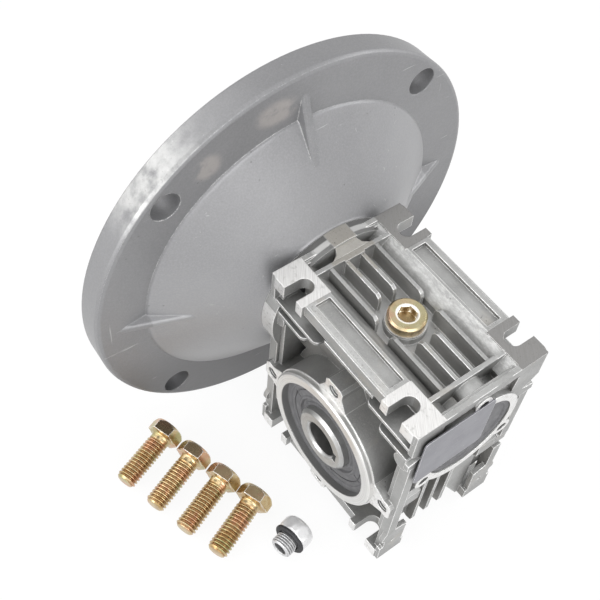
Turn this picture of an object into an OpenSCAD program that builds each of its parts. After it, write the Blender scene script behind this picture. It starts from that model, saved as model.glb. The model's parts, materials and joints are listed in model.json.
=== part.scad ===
// Right-angle worm gear reducer with a C-face motor flange and a hollow output shaft.
// The origin is the middle of the output bore. X runs along the worm, Y along the
// output shaft and Z from the output shaft up to the worm.

/* [Gearing] */
// Distance between the worm axis and the output axis
centre_distance = 30; // [29.5:0.1:31]
// Axial module of the worm and transverse module of the wheel
gear_module = 1.44; // [1.4:0.01:1.46]
// Number of starts on the worm
worm_starts = 3; // [3:1:3]
// Number of teeth on the bronze wheel
wheel_teeth = 30; // [30:1:30]
// Length of the threaded stretch of the worm
thread_length = 28; // [24:1:30]
// Face width of the bronze wheel
wheel_width = 14; // [12:0.5:15]
// Play between the thread flanks and the teeth, measured along the worm
backlash = 0.24; // [0.2:0.01:0.4]
// Gap between a tip and the root that it turns in
tip_gap = 0.29; // [0.25:0.01:0.4]

/* [Housing] */
// Length of the foot pads along the worm
body_length = 75; // [74:0.5:80]
// Width over the output lug faces
body_width = 56; // [56:0.5:60]
// Height from the output axis to the worm-side pads
top_height = 57; // [57:0.5:60]
// Height from the output axis to the far pads
base_height = 40; // [40:0.5:44]
// Thickness of the foot pads and of the beams between them
pad_thickness = 5.5; // [5:0.1:6]
// Length of one foot pad along the worm
pad_length = 17; // [16:0.5:18]
// Width of one foot pad across the worm
pad_width = 12; // [11.5:0.1:13]
// Width of the open slot in a foot pad
slot_width = 6.5; // [6:0.1:7]
// Distance between the slots along the worm
slot_spacing_x = 54; // [53:0.5:55]
// Distance between the slot ends across the worm
slot_spacing_y = 44; // [43:0.5:45]
// Thickness of a cooling fin
fin_thickness = 1.4; // [1.2:0.1:1.8]
// Distance from one cooling fin to the next
fin_pitch = 6.5; // [6.2:0.1:6.8]
// Number of fins on the worm side
fin_count = 4; // [2:2:4]
// Thickness of the cross ribs
rib_thickness = 1.7; // [1.5:0.1:2]
// Thickness of an end wall at its border
wall_thickness = 2; // [1.8:0.1:2.4]
// Half width of the chamber walls behind the side fins
chamber_half_width = 17; // [16.5:0.1:18]
// Half width of the beams between the pads
beam_half_width = 26.5; // [26:0.1:27.5]

/* [Output side] */
// Bore of the hollow output shaft
output_bore = 14; // [11:1:15]
// Outside diameter of the hollow output shaft in its bearings
hub_diameter = 25; // [25:1:25]
// Length of the hollow output shaft from end to end
hub_length = 61; // [60.5:0.1:62]
// Width of the output keyway
output_key_width = 5; // [4:0.5:5]
// Height from the bore's far wall to the bottom of the output keyway
output_key_height = 16.3; // [16:0.1:16.5]
// Outside diameter of an output bearing and its seal
output_bearing_outside = 47; // [47:1:47]
// Width of an output bearing
output_bearing_width = 12; // [11:1:12]
// Thickness of an output shaft seal
output_seal_width = 6; // [5:0.5:6.5]
// Diameter of the centring spigot round the output shaft
spigot_diameter = 55; // [55:0.5:56]
// Height of the spigot above the lug faces
spigot_height = 2.3; // [2:0.1:2.5]
// Diameter of the circle of output bolt holes
output_bolt_circle = 65; // [64.5:0.5:66]
// Tapping diameter of the output bolt holes
output_hole_diameter = 5; // [4.5:0.1:5.2]
// Depth of the output bolt holes
output_hole_depth = 11; // [9:0.5:11]

/* [Input side] */
// Bore of the hollow worm shaft
input_bore = 15.875; // [14:0.125:16]
// Width of the input keyway
input_key_width = 4.76; // [4:0.01:5]
// Depth of the input keyway beyond the bore
input_key_depth = 2.1; // [1.5:0.1:2.4]
// Outside diameter of the hollow end of the worm
quill_diameter = 25; // [24.5:0.5:25]
// Outside diameter of the input bearing and its seal
input_bearing_outside = 37; // [36:1:37]
// Width of the input bearing
input_bearing_width = 7; // [6:0.5:7]
// Journal diameter at the closed end of the worm
end_journal_diameter = 15; // [14:0.5:15]
// Outside diameter of the bearing at the closed end
end_bearing_outside = 35; // [35:1:35]
// Width of the bearing at the closed end
end_bearing_width = 11; // [10:0.5:11]

/* [Motor flange] */
// Outside diameter of the flange rim
flange_diameter = 165.1; // [160:0.1:170]
// Thickness of the flange rim
flange_rim = 11.4; // [10:0.1:13]
// Diameter of the circle of motor bolt holes
flange_bolt_circle = 149.2; // [147:0.1:151]
// Diameter of a motor bolt hole
flange_hole_diameter = 11.1; // [10:0.1:12]
// Diameter of the recess that centres the motor
pilot_diameter = 114.3; // [110:0.1:118]
// Depth of the recess that centres the motor
pilot_depth = 5; // [4:0.5:6]
// Distance from the output axis to the front of the rim
flange_reach = 61.5; // [60:0.5:66]
// Outside diameter of the cone where it meets the flat rim
cone_diameter = 126; // [120:0.5:130]
// Outside diameter of the neck against the housing
neck_diameter = 59; // [58:0.5:62]
// Thickness of a gusset on the flange
gusset_thickness = 3.2; // [2.6:0.1:4]

/* [Fasteners and fittings] */
// Thread diameter of the loose motor bolts
bolt_diameter = 8.6; // [8:0.1:9.6]
// Length of a motor bolt under its head
bolt_length = 23.2; // [20:0.1:30]
// Width across the flats of a motor bolt head
bolt_flats = 12.6; // [12:0.1:13]
// Distance between the motor bolts as they lie
bolt_spacing = 16.2; // [15.8:0.1:18]
// Diameter of the filler plug head
plug_diameter = 13.6; // [12:0.1:14]
// Width across the flats of the plug's hex socket
plug_socket = 6; // [5:0.1:6]
// Thread diameter of the filler plug and the vent plug
plug_thread = 9.6; // [8:0.1:10]
// Width of the bare nameplate
plate_width = 29.8; // [26:0.2:30]
// Height of the bare nameplate
plate_height = 27.4; // [24:0.2:28]

/* [Hidden] */
$fn = 64;

// Colours as the photograph shows them
raw_cast = [0.66, 0.66, 0.64];
grey_cast = [0.58, 0.58, 0.59];
machined = [0.80, 0.80, 0.79];
bearing_steel = [0.72, 0.73, 0.75];
bronze = [0.72, 0.52, 0.26];
seal_rubber = [0.40, 0.40, 0.42];
dark_rubber = [0.10, 0.10, 0.11];
yellow_zinc = [0.72, 0.60, 0.34];
black_steel = [0.16, 0.16, 0.17];
plate_metal = [0.72, 0.72, 0.78];

// Gearing worked out from the module and the teeth
pressure_angle = 20;
wheel_pitch_r = gear_module * wheel_teeth / 2;
worm_pitch_r = centre_distance - wheel_pitch_r;
worm_tip_r = worm_pitch_r + gear_module;
wheel_tip_r = wheel_pitch_r + gear_module;
worm_root_r = centre_distance - wheel_tip_r - tip_gap;
wheel_root_r = centre_distance - worm_tip_r - tip_gap;
wheel_base_r = wheel_pitch_r * cos(pressure_angle);
axial_pitch = PI * gear_module;
lead = worm_starts * axial_pitch;
thread_slices = 64;
wheel_slices = 6;

// Faces and half sizes of the housing
end_x = body_length / 2;
half_width = body_width / 2;
pad_inner_x = end_x - pad_length;
pad_inner_y = half_width - pad_width;
input_face_x = -(end_x + 2.5);
ring_face_x = end_x + 1;
wall_inner_x = end_x - wall_thickness;
panel_x = end_x - 1.7;
floor_z = centre_distance + input_bearing_outside / 2;
beam_low_z = top_height - pad_thickness;
base_beam_z = -base_height + pad_thickness;
slope_low_y = 11.2;
slope_low_z = top_height - 5.3;
lip_y = 16.6;
pocket_depth = 1.5;
lip_width = 1.2;
outer_lip = 2.8;
inner_rib_x = end_x - 9.2;
barrel_r = spigot_diameter / 2 + 0.5;
chamber_r = 31;
worm_chamber_r = floor_z - centre_distance;
end_boss_r = input_bearing_outside / 2 + 3;
end_boss_length = 9.2;
end_ring_r = end_bearing_outside / 2 + 3.2;
end_lug_r = end_ring_r + 0.7;
end_lug_angles = [90, 213, 327];
input_boss_r = neck_diameter / 2 - 0.5;
fin_cut_r = 10.3;
boss_r = plug_diameter / 2 + 0.6;
boss_top = top_height - 5.5;
post_width = 3.8;
post_top_z = 38.5;
notch_low_z = -22;

// Running gear places along Y and X
running_gap = 0.05;
cavity_r = wheel_tip_r + 1.6;
cavity_half = wheel_width / 2 + 1.2;
output_bearing_y = cavity_half + 0.3;
output_seal_y = output_bearing_y + output_bearing_width + 1;
cover_split_y = half_width - 6;
cover_register_r = (output_bearing_outside / 2 + barrel_r) / 2;
input_bearing_x = input_face_x + 6.5;
input_shoulder_x = input_bearing_x + input_bearing_width;
input_seal_x = input_face_x + 0.6;
input_seal_width = 5;
quill_end_x = input_face_x - 2;
quill_inner_x = -18.5;
bore_bottom_x = quill_inner_x - 1;
end_bearing_x = 22;
end_bearing_out_x = end_bearing_x + end_bearing_width;
circlip_x = end_bearing_out_x + 0.2;
circlip_width = 1.2;
cap_x = circlip_x + circlip_width + 0.2;
cap_width = 2.6;
ball_gap = 0.3;

// Screws inside the flange and on the cover
joint_screw_r = input_bearing_outside / 4 + neck_diameter / 4 - 1.2;
joint_screw_head = 4.2;
cover_ear_r = barrel_r + 2.6;
cover_screw_head = 3.5;
cover_screw_sink = 4;
joint_hole_depth = 8;
base_fin_top = -base_height / 2;
cover_ear_size = cover_screw_head + 1.3;
lug_tip_half = 4.4;
lug_reach = 4;
lug_foot_half = 7.6;
cover_margin = 0.5;

// Flange sections
rim_back_x = -flange_reach - flange_rim;
cone_r = cone_diameter / 2;
neck_r = neck_diameter / 2;
flange_plate = 6;
neck_bore_r = input_bearing_outside / 2 + 0.5;
gusset_tip_r = cone_r + 10.5;
gusset_root_r = cone_r - 14;
cone_slope = (-input_face_x - flange_reach) / (cone_r - neck_r);

// The surface that the reducer lies on touches the flange rim and the far pads
rest_tilt = atan((flange_diameter / 2 - centre_distance - base_height) / (end_x + flange_reach));
bolt_head_height = 5.2;
head_corner_r = bolt_flats / 2 / cos(30);

// Shapes that several parts share

module round_x(r, x0, x1, y = 0, z = centre_distance) {
    translate([x0, y, z]) rotate([0, 90, 0]) cylinder(r = r, h = x1 - x0);
}

module round_y(r, y0, y1, x = 0, z = 0) {
    translate([x, y1, z]) rotate([90, 0, 0]) cylinder(r = r, h = y1 - y0);
}

module profile_x(points, x0, x1) {
    translate([x0, 0, 0]) rotate([90, 0, 90]) linear_extrude(x1 - x0) polygon(points);
}

module profile_y(points, y0, y1) {
    translate([0, y1, 0]) rotate([90, 0, 0]) linear_extrude(y1 - y0) polygon(points);
}

module block(low, high) {
    translate(low) cube(high - low);
}

// A profile of [distance along X, radius] turned about the worm axis
module turned_x(points) {
    translate([0, 0, centre_distance]) rotate([0, 90, 0]) rotate_extrude()
        polygon([for (p = points) [p[1], p[0]]]);
}

// A profile of [distance along Y, radius] turned about the output axis
module turned_y(points) {
    rotate([-90, 0, 0]) rotate_extrude() polygon([for (p = points) [p[1], p[0]]]);
}

module around_x(angles, r) {
    for (a = angles) translate([0, r * cos(a), centre_distance + r * sin(a)]) children();
}

module around_y(angles, r) {
    for (a = angles) translate([r * cos(a), 0, r * sin(a)]) children();
}

module both_sides() {
    children();
    mirror([0, 1, 0]) children();
}

module both_ends() {
    children();
    mirror([1, 0, 0]) children();
}

// Gear tooth mathematics

function involute(a) = tan(a) * 180 / PI - a;

function wheel_half_angle(r) = 90 / wheel_teeth - backlash / 4 / wheel_pitch_r * 180 / PI
    + involute(pressure_angle) - involute(acos(min(1, wheel_base_r / r)));

function polar(r, a) = [r * cos(a), r * sin(a)];

wheel_radii = [for (i = [0:4]) wheel_base_r + (wheel_tip_r - wheel_base_r) * i / 4];

function wheel_tooth(a) = concat(
    [polar(wheel_root_r, a - wheel_half_angle(wheel_base_r))],
    [for (r = wheel_radii) polar(r, a - wheel_half_angle(r))],
    [for (i = [len(wheel_radii) - 1:-1:0]) polar(wheel_radii[i], a + wheel_half_angle(wheel_radii[i]))],
    [polar(wheel_root_r, a + wheel_half_angle(wheel_base_r))]);

function worm_half_angle(r) = (axial_pitch / 4 - backlash / 4 - (r - worm_pitch_r) * tan(pressure_angle))
    / lead * 360;

// The flanks start a little inside the core, so that the thread grows out of it
worm_foot_r = worm_root_r - 0.4;
worm_radii = [for (i = [0:3]) worm_foot_r + (worm_tip_r - worm_foot_r) * i / 3];

function worm_start(a) = concat(
    [for (r = worm_radii) polar(r, a - worm_half_angle(r))],
    [polar(worm_tip_r, a)],
    [for (i = [3:-1:0]) polar(worm_radii[i], a + worm_half_angle(worm_radii[i]))],
    [polar(worm_foot_r, a + 180 / worm_starts)]);

// Housing

pad_corner = 2.5;

// Foot pad in the corner of +X and +Y, between two heights
module foot_pad(z0, z1) {
    translate([0, 0, z0]) linear_extrude(z1 - z0) {
        translate([pad_inner_x, pad_inner_y]) square([pad_length - pad_corner, pad_width]);
        translate([pad_inner_x, pad_inner_y]) square([pad_length, pad_width - pad_corner]);
        translate([end_x - pad_corner, half_width - pad_corner]) circle(r = pad_corner);
    }
}

module foot_pads() {
    both_ends() both_sides() {
        foot_pad(beam_low_z, top_height);
        foot_pad(-base_height, base_beam_z);
    }
}

// Beam along a long edge of the worm side, with its inner slope and its shallow pocket
module upper_beam() {
    difference() {
        profile_x([[chamber_half_width - 3, beam_low_z], [beam_half_width, beam_low_z],
                   [beam_half_width, top_height - 0.4], [beam_half_width - 0.6, top_height],
                   [lip_y, top_height], [slope_low_y, slope_low_z], [slope_low_y, floor_z - 2],
                   [chamber_half_width - 3, floor_z - 2]],
                  -wall_inner_x, wall_inner_x);
        block([-pad_inner_x + 1.6, lip_y + lip_width, top_height - pocket_depth],
              [pad_inner_x - 1.6, beam_half_width - outer_lip, top_height + 1]);
    }
}

module lower_beam() {
    block([-pad_inner_x - 1, chamber_half_width - 3, -base_height],
          [pad_inner_x + 1, beam_half_width - 1, base_beam_z]);
}

// Frame on an end face: a border under the pads, and corner plates that reach down to the
// bearing ring with a bolt notch and an ear below them
module corner_plates() {
    out = half_width - 0.4;
    y_in = chamber_half_width - 0.4;
    polygon([[y_in, top_height - 2], [out, top_height - 2], [out, beam_low_z - 7], [out - 5.8, beam_low_z - 12],
             [out, post_top_z - 0.7], [out, post_top_z - 3.7], [y_in + 3.2, post_top_z - 4],
             [y_in + 1.6, post_top_z - 6.5], [y_in - 2, post_top_z]]);
    polygon([[y_in, notch_low_z + 1.5], [out - 2, notch_low_z + 4], [out, notch_low_z - 0.5],
             [out, notch_low_z - 2.5], [out - 7, notch_low_z - 7.5], [out, notch_low_z - 9],
             [out, -base_height], [y_in + 0.6, -base_height]]);
    translate([out - post_width, notch_low_z]) square([post_width - 1.8, post_top_z - 4 - notch_low_z]);
}

module end_wall() {
    translate([wall_inner_x, 0, 0]) rotate([90, 0, 90]) linear_extrude(wall_thickness) {
        corner_plates();
        mirror([1, 0]) corner_plates();
        translate([-half_width + 0.4, top_height - 3]) square([body_width - 0.8, 3]);
    }
    block([panel_x - 1.5, -chamber_half_width - 1, centre_distance - end_ring_r],
          [panel_x, chamber_half_width + 1, top_height - 1]);
    block([inner_rib_x + 3, -half_width + 3, notch_low_z], [inner_rib_x + 5, half_width - 3, post_top_z - 2]);
}

// Post at a corner of an end wall, with the round boss at its top
module corner_post() {
    post_y = half_width - 1.8 - post_width;
    block([end_x - 4, post_y, base_beam_z - 1], [end_x, half_width - 1.8, post_top_z - 4]);
    round_y(3.4, chamber_half_width + 2, half_width - 1.2, end_x - 4, post_top_z - 4);
}

module worm_side_ribs() {
    low = floor_z - 2;
    both_ends() {
        block([inner_rib_x, -slope_low_y - 4.8, low],
              [inner_rib_x + rib_thickness, slope_low_y + 4.8, top_height - 0.2]);
        block([wall_inner_x, -half_width + 2, top_height - 4], [end_x, half_width - 2, top_height - 0.1]);
    }
}

// One half of a fin, from the filler boss to the cross rib, with a chamfered inner tip
module half_fin(y) {
    x_in = sqrt(max(0, fin_cut_r * fin_cut_r - y * y));
    tip = top_height - 1;
    profile_y([[x_in, floor_z - 3], [x_in, tip - 2.4], [x_in + 0.6, tip - 0.9], [x_in + 2, tip],
               [inner_rib_x + 0.5, tip], [inner_rib_x + 0.5, floor_z - 3]],
              y - fin_thickness / 2, y + fin_thickness / 2);
}

module worm_side_fins() {
    for (i = [0:fin_count - 1]) both_ends() half_fin((i - (fin_count - 1) / 2) * fin_pitch);
}

// Flat cast boss that bridges the two ribs at the motor end
module bridge_boss() {
    block([input_face_x, -4.2, floor_z - 2], [-inner_rib_x + 0.6, 4.2, top_height - 0.2]);
}

// Outline of the tapered lug for one output bolt, pointing along +X in the XZ plane
function lug_outline(margin, reach) = let (r = output_bolt_circle / 2, tip = r + lug_reach + reach)
    [[r - 12, -lug_foot_half - 1 - margin], [r - 6, -lug_foot_half - margin],
     [r, -lug_tip_half - margin], [tip - 1.2, -lug_tip_half - margin],
     [tip, -lug_tip_half + 1.2 - margin], [tip, lug_tip_half - 1.2 + margin],
     [tip - 1.2, lug_tip_half + margin], [r, lug_tip_half + margin],
     [r - 6, lug_foot_half + margin], [r - 12, lug_foot_half + 1 + margin]];

module output_lug(y0, y1) {
    profile_y(lug_outline(0, 0), y0, y1);
}

module output_lugs(y0, y1) {
    for (a = [0:90:270]) rotate([0, a, 0]) output_lug(y0, y1);
}

// Centring ring round the output bore, with its edge broken
module spigot_ring(side) {
    r = spigot_diameter / 2;
    tip = half_width + spigot_height;
    turned_y([for (p = [[half_width - 1.5, 0], [half_width - 1.5, r], [tip - 0.6, r], [tip, r - 0.6], [tip, 0]])
              [side * p[0], p[1]]]);
}

module cover_ears(y0, y1) {
    around_y([45:90:315], cover_ear_r) round_y(cover_ear_size, y0, y1);
}

// Side fins: horizontal shelves with a rounded free corner
module shelf(x_free, x_end, z) {
    round = 2.4;
    out = half_width - 0.9;
    deep = chamber_half_width - 3;
    side = sign(x_end - x_free);
    translate([0, 0, z]) linear_extrude(fin_thickness) {
        polygon([[x_free, deep], [x_free, out - round], [x_end, out - round], [x_end, deep]]);
        polygon([[x_free + side * round, deep], [x_free + side * round, out], [x_end, out], [x_end, deep]]);
        translate([x_free + side * round, out - round]) circle(r = round);
    }
}

module side_fins() {
    shelf(13.5, wall_inner_x, post_top_z + 5.8);
    shelf(20.5, wall_inner_x, post_top_z - 0.8);
    shelf(-12.5, -wall_inner_x, post_top_z + 4.2);
    shelf(-19, -wall_inner_x, post_top_z - 1.2);
    block([-9, chamber_half_width - 3, beam_low_z - 1.6], [16, half_width - 1, beam_low_z - 0.2]);
}

// Upright fins under the bearing ring on an end face, with the broad strip beside them
module end_fins() {
    low = -24;
    top = centre_distance - end_ring_r + 2;
    for (i = [-2:0])
        profile_y([[20, low + 5], [end_x - 3, low], [end_x - 1, low + 0.8], [end_x - 0.5, low + 3],
                   [end_x - 0.5, top + 1], [20, top + 1]],
                  i * fin_pitch - fin_thickness / 2, i * fin_pitch + fin_thickness / 2);
    profile_x([[fin_pitch, low], [chamber_half_width - 2, -base_height], [chamber_half_width, -base_height],
               [chamber_half_width, top + 7], [fin_pitch, top + 7]], end_x - 8, end_x - 3.4);
}

module base_fins() {
    for (i = [-2:2])
        block([-pad_inner_x - 3, i * fin_pitch - fin_thickness / 2, -base_height + 1.5],
              [pad_inner_x + 3, i * fin_pitch + fin_thickness / 2, base_fin_top]);
}

module housing_body() {
    round_y(chamber_r, -chamber_half_width, chamber_half_width);
    round_x(worm_chamber_r, -wall_inner_x, wall_inner_x);
    both_ends() round_x(end_boss_r, end_x - end_boss_length, wall_inner_x + 0.5);
    block([-wall_inner_x, -chamber_half_width, centre_distance - 16],
          [wall_inner_x, chamber_half_width, floor_z]);
    block([-pad_inner_x, -chamber_half_width, base_beam_z + 1], [pad_inner_x, chamber_half_width, -24]);
    both_sides() {
        upper_beam();
        lower_beam();
        side_fins();
    }
    both_ends() {
        end_wall();
        both_sides() corner_post();
    }
    foot_pads();
    worm_side_ribs();
    worm_side_fins();
    bridge_boss();
    base_fins();
    end_fins();
    round_x(end_ring_r, wall_inner_x - 2, ring_face_x);
    around_x(end_lug_angles, end_lug_r) round_x(3.6, wall_inner_x - 2, ring_face_x, 0, 0);
    round_x(6, inner_rib_x, wall_inner_x + 0.5, 0, centre_distance + end_lug_r - 2);
    round_x(input_boss_r, input_face_x, -wall_inner_x + 2);
    round_y(barrel_r, -half_width, -chamber_half_width + 3);
    round_y(barrel_r, chamber_half_width - 3, cover_split_y);
    output_lugs(-half_width, -chamber_half_width + 3);
    output_lugs(chamber_half_width - 3, cover_split_y);
    cover_ears(chamber_half_width - 3, cover_split_y);
    spigot_ring(-1);
}

module housing_cuts() {
    // wheel chamber, cover opening and the near bearing and seal seats
    round_y(cavity_r, -cavity_half, cavity_half + 1);
    round_y(cover_register_r, cavity_half, cover_split_y + 1);
    round_y(output_bearing_outside / 2, -output_bearing_y - output_bearing_width, -cavity_half + 1);
    round_y(output_bearing_outside / 2 - 1.8, -output_seal_y, -output_bearing_y - 1);
    round_y(output_bearing_outside / 2, -half_width - spigot_height - 1, -output_seal_y);
    // worm tunnel with its bearing seats
    round_x(worm_tip_r + 1.4, bore_bottom_x - 4, end_bearing_x + 1);
    round_x(quill_diameter / 2 + 1, input_shoulder_x - 1, -14.5);
    round_x(input_bearing_outside / 2, input_face_x - 1, input_shoulder_x);
    round_x(end_bearing_outside / 2, end_bearing_x, ring_face_x + 1);
    round_x(end_bearing_outside / 2 + 0.8, circlip_x, circlip_x + circlip_width + 0.1);
    // seat and thread of the filler plug
    translate([0, 0, boss_top]) cylinder(r = boss_r + 0.5, h = 20);
    translate([0, 0, centre_distance]) cylinder(d = plug_thread, h = 40);
    // room for the cover and its lugs between the posts and beams
    round_y(barrel_r + cover_margin, cover_split_y, half_width + 4);
    for (a = [0:90:270]) rotate([0, a, 0])
        profile_y(lug_outline(cover_margin, 6), cover_split_y, half_width + 4);
    around_y([45:90:315], cover_ear_r) round_y(cover_ear_size + cover_margin, cover_split_y, half_width + 4);
    // open slots of the foot pads, cut through all that the pads grow from
    both_ends() both_sides() for (z = [beam_low_z - 0.5, -base_height - 1])
        translate([slot_spacing_x / 2, slot_spacing_y / 2, z]) linear_extrude(pad_thickness + 1.5) {
            circle(d = slot_width);
            translate([-slot_width / 2, 0]) square([slot_width, pad_width]);
        }
    // tapped holes
    around_y([0:90:270], output_bolt_circle / 2)
        round_y(output_hole_diameter / 2, -half_width - 1, -half_width + output_hole_depth);
    around_y([0:90:270], output_bolt_circle / 2)
        round_y(output_hole_diameter / 2, half_width - output_hole_depth, cover_split_y + 1);
    around_y([45:90:315], cover_ear_r) round_y(2, cover_split_y - 5, cover_split_y + 1);
    around_x(end_lug_angles, end_lug_r) round_x(2.1, ring_face_x - 6.5, ring_face_x + 1, 0, 0);
    around_x([45:90:315], joint_screw_r) round_x(2.5, input_face_x - 1, input_face_x + joint_hole_depth, 0, 0);
}

module housing() {
    color(raw_cast) difference() {
        union() {
            housing_body();
            translate([0, 0, floor_z - 2]) cylinder(r = boss_r, h = boss_top - floor_z + 2);
        }
        housing_cuts();
    }
}

// Cover on the far side, with the same spigot and lugs as the near side
module output_cover() {
    color(raw_cast) difference() {
        union() {
            round_y(barrel_r, cover_split_y + 0.3, half_width);
            output_lugs(cover_split_y + 0.3, half_width);
            cover_ears(cover_split_y + 0.3, half_width - 1.5);
            spigot_ring(1);
            round_y(cover_register_r - 0.1, worm_tip_r + 0.9, cover_split_y + 1);
        }
        round_y(output_bearing_outside / 2, cavity_half - 1, output_bearing_y + output_bearing_width);
        round_y(output_bearing_outside / 2 - 1.8, output_bearing_y + 1, output_seal_y + 0.5);
        round_y(output_bearing_outside / 2, output_seal_y, half_width + spigot_height + 1);
        around_y([0:90:270], output_bolt_circle / 2)
            round_y(output_hole_diameter / 2, cover_split_y - 1, half_width + 1);
        around_y([45:90:315], cover_ear_r) {
            round_y(2.25, cover_split_y - 1, half_width + 1);
            round_y(cover_screw_head + 0.3, half_width - cover_screw_sink, half_width + 1);
        }
    }
}

module cover_gasket() {
    color(dark_rubber) difference() {
        union() {
            round_y(barrel_r, cover_split_y, cover_split_y + 0.3);
            output_lugs(cover_split_y, cover_split_y + 0.3);
            cover_ears(cover_split_y, cover_split_y + 0.3);
        }
        round_y(cover_register_r, cover_split_y - 1, cover_split_y + 1);
        around_y([0:90:270], output_bolt_circle / 2)
            round_y(output_hole_diameter / 2, cover_split_y - 1, cover_split_y + 1);
        around_y([45:90:315], cover_ear_r) round_y(2.25, cover_split_y - 1, cover_split_y + 1);
    }
}

module cover_screws() {
    seat = half_width - cover_screw_sink;
    color(black_steel) around_y([45:90:315], cover_ear_r) difference() {
        union() {
            round_y(cover_screw_head, seat, seat + 2.4);
            round_y(2, cover_split_y - 4.5, seat + 1);
        }
        translate([0, seat + 0.9, 0]) rotate([-90, 0, 0]) cylinder(r = 1.7, h = 4, $fn = 6);
    }
}

// Motor flange

// Gusset with sloping sides, whose ridge runs straight from the rim down to the cone
module flange_gusset() {
    rise = -cone_slope * (cone_r - gusset_root_r) + 0.2;
    run = gusset_tip_r - gusset_root_r;
    translate([-flange_reach, 0, centre_distance + gusset_tip_r]) rotate([0, 90 + atan2(run, rise), 0])
        linear_extrude(sqrt(rise * rise + run * run))
            polygon([[0.5, -gusset_thickness / 2], [0, -gusset_thickness / 2 + 0.7],
                     [0, gusset_thickness / 2 - 0.7], [0.5, gusset_thickness / 2],
                     [5, gusset_thickness * 0.9], [5, -gusset_thickness * 0.9]]);
}

module motor_flange() {
    rim_r = flange_diameter / 2;
    face_x = input_face_x;
    plate_in_x = face_x - flange_plate;
    pilot_r = pilot_diameter / 2;
    color(grey_cast) difference() {
        union() {
            turned_x([[face_x, neck_bore_r], [face_x, neck_r - 0.6], [face_x - 0.6, neck_r],
                      [-flange_reach + 1.2, cone_r - 0.8], [-flange_reach + 0.7, cone_r - 0.1],
                      [-flange_reach, cone_r + 0.3],
                      [-flange_reach, rim_r - 1.6], [-flange_reach - 0.5, rim_r - 0.5],
                      [-flange_reach - 1.6, rim_r], [rim_back_x + 0.8, rim_r - 0.4],
                      [rim_back_x, rim_r - 1.2],
                      [rim_back_x, pilot_r], [rim_back_x + pilot_depth, pilot_r],
                      [rim_back_x + pilot_depth, pilot_r - 3],
                      [plate_in_x - 1, joint_screw_r + joint_screw_head + 1.6],
                      [plate_in_x, joint_screw_r + joint_screw_head + 0.8],
                      [plate_in_x, neck_bore_r]]);
            for (a = [0:90:270])
                translate([0, 0, centre_distance]) rotate([a, 0, 0])
                    translate([0, 0, -centre_distance]) flange_gusset();
        }
        around_x([45:90:315], flange_bolt_circle / 2)
            round_x(flange_hole_diameter / 2, rim_back_x - 1, -flange_reach + 6, 0, 0);
        around_x([45:90:315], joint_screw_r) round_x(2.75, plate_in_x - 1, face_x + 1, 0, 0);
    }
}

module flange_gasket() {
    color(dark_rubber) difference() {
        round_x(neck_bore_r - 0.1, input_face_x - 1.6, input_face_x);
        round_x(quill_diameter / 2 + 2.5, input_face_x - 3, input_face_x + 1);
    }
}

module flange_screws() {
    seat = input_face_x - flange_plate;
    color(black_steel) around_x([45:90:315], joint_screw_r) difference() {
        union() {
            round_x(joint_screw_head, seat - 5, seat, 0, 0);
            round_x(2.5, seat - 1, input_face_x + 7.5, 0, 0);
        }
        translate([seat - 6, 0, 0]) rotate([0, 90, 0]) cylinder(r = 2.3, h = 3.6, $fn = 6);
    }
}

// Seals, cap and circlip

module output_seal() {
    inner = hub_diameter / 2 + running_gap;
    outer = output_bearing_outside / 2;
    out = output_seal_y + output_seal_width;
    difference() {
        turned_y([[output_seal_y, inner], [output_seal_y, outer], [out, outer],
                  [out, outer - 2.2], [out - 0.5, outer - 2.6], [out - 0.5, inner + 4.2],
                  [out - 0.1, inner + 3.6], [out - 0.1, inner + 3], [out - 1, inner + 2.5],
                  [out - 1, inner + 1.6], [out - 0.4, inner + 1.1], [out - 0.6, inner]]);
        for (a = [15:60:315]) rotate([0, a, 0])
            block([outer - 6.6, out - 1.1, -0.3], [outer - 3, out + 1, 0.3]);
        turned_y([[out - 1, outer - 4.6], [out - 1, outer - 4.1], [out + 1, outer - 3.9], [out + 1, outer - 4.8]]);
    }
}

module output_seal_near() {
    color(seal_rubber) mirror([0, 1, 0]) output_seal();
}

module output_seal_far() {
    color(seal_rubber) output_seal();
}

module input_seal() {
    inner = quill_diameter / 2 + running_gap;
    outer = input_bearing_outside / 2;
    color(seal_rubber)
        turned_x([[input_seal_x, outer], [input_seal_x, inner + 3.4], [input_seal_x + 0.8, inner + 2.6],
                  [input_seal_x + 0.8, inner], [input_seal_x + input_seal_width, inner],
                  [input_seal_x + input_seal_width, outer]]);
}

module worm_end_cap() {
    r = end_bearing_outside / 2;
    color(seal_rubber)
        turned_x([[cap_x, 0], [cap_x, r], [cap_x + cap_width + 0.6, r],
                  [cap_x + cap_width + 0.6, r - 1.6], [cap_x + cap_width, r - 2.2], [cap_x + cap_width, 0]]);
}

module bearing_circlip() {
    r = end_bearing_outside / 2;
    color(black_steel) difference() {
        round_x(r + 0.7, circlip_x, circlip_x + circlip_width);
        round_x(r - 1.6, circlip_x - 1, circlip_x + circlip_width + 1);
        block([circlip_x - 1, -3, centre_distance + r - 5],
              [circlip_x + circlip_width + 1, 3, centre_distance + r + 3]);
    }
}

// Ball bearings: rings and ball sets turned about X or Y by the caller

function groove_r(inner_r, outer_r) = (outer_r - inner_r) * 0.31;

module bearing_ring_outer(inner_r, outer_r, width) {
    mid = (inner_r + outer_r) / 2;
    step = groove_r(inner_r, outer_r) * 0.72;
    difference() {
        cylinder(r = outer_r, h = width);
        translate([0, 0, -1]) cylinder(r = mid + step, h = width + 2);
        translate([0, 0, width / 2]) rotate_extrude() translate([mid, 0]) circle(r = groove_r(inner_r, outer_r));
    }
}

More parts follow.
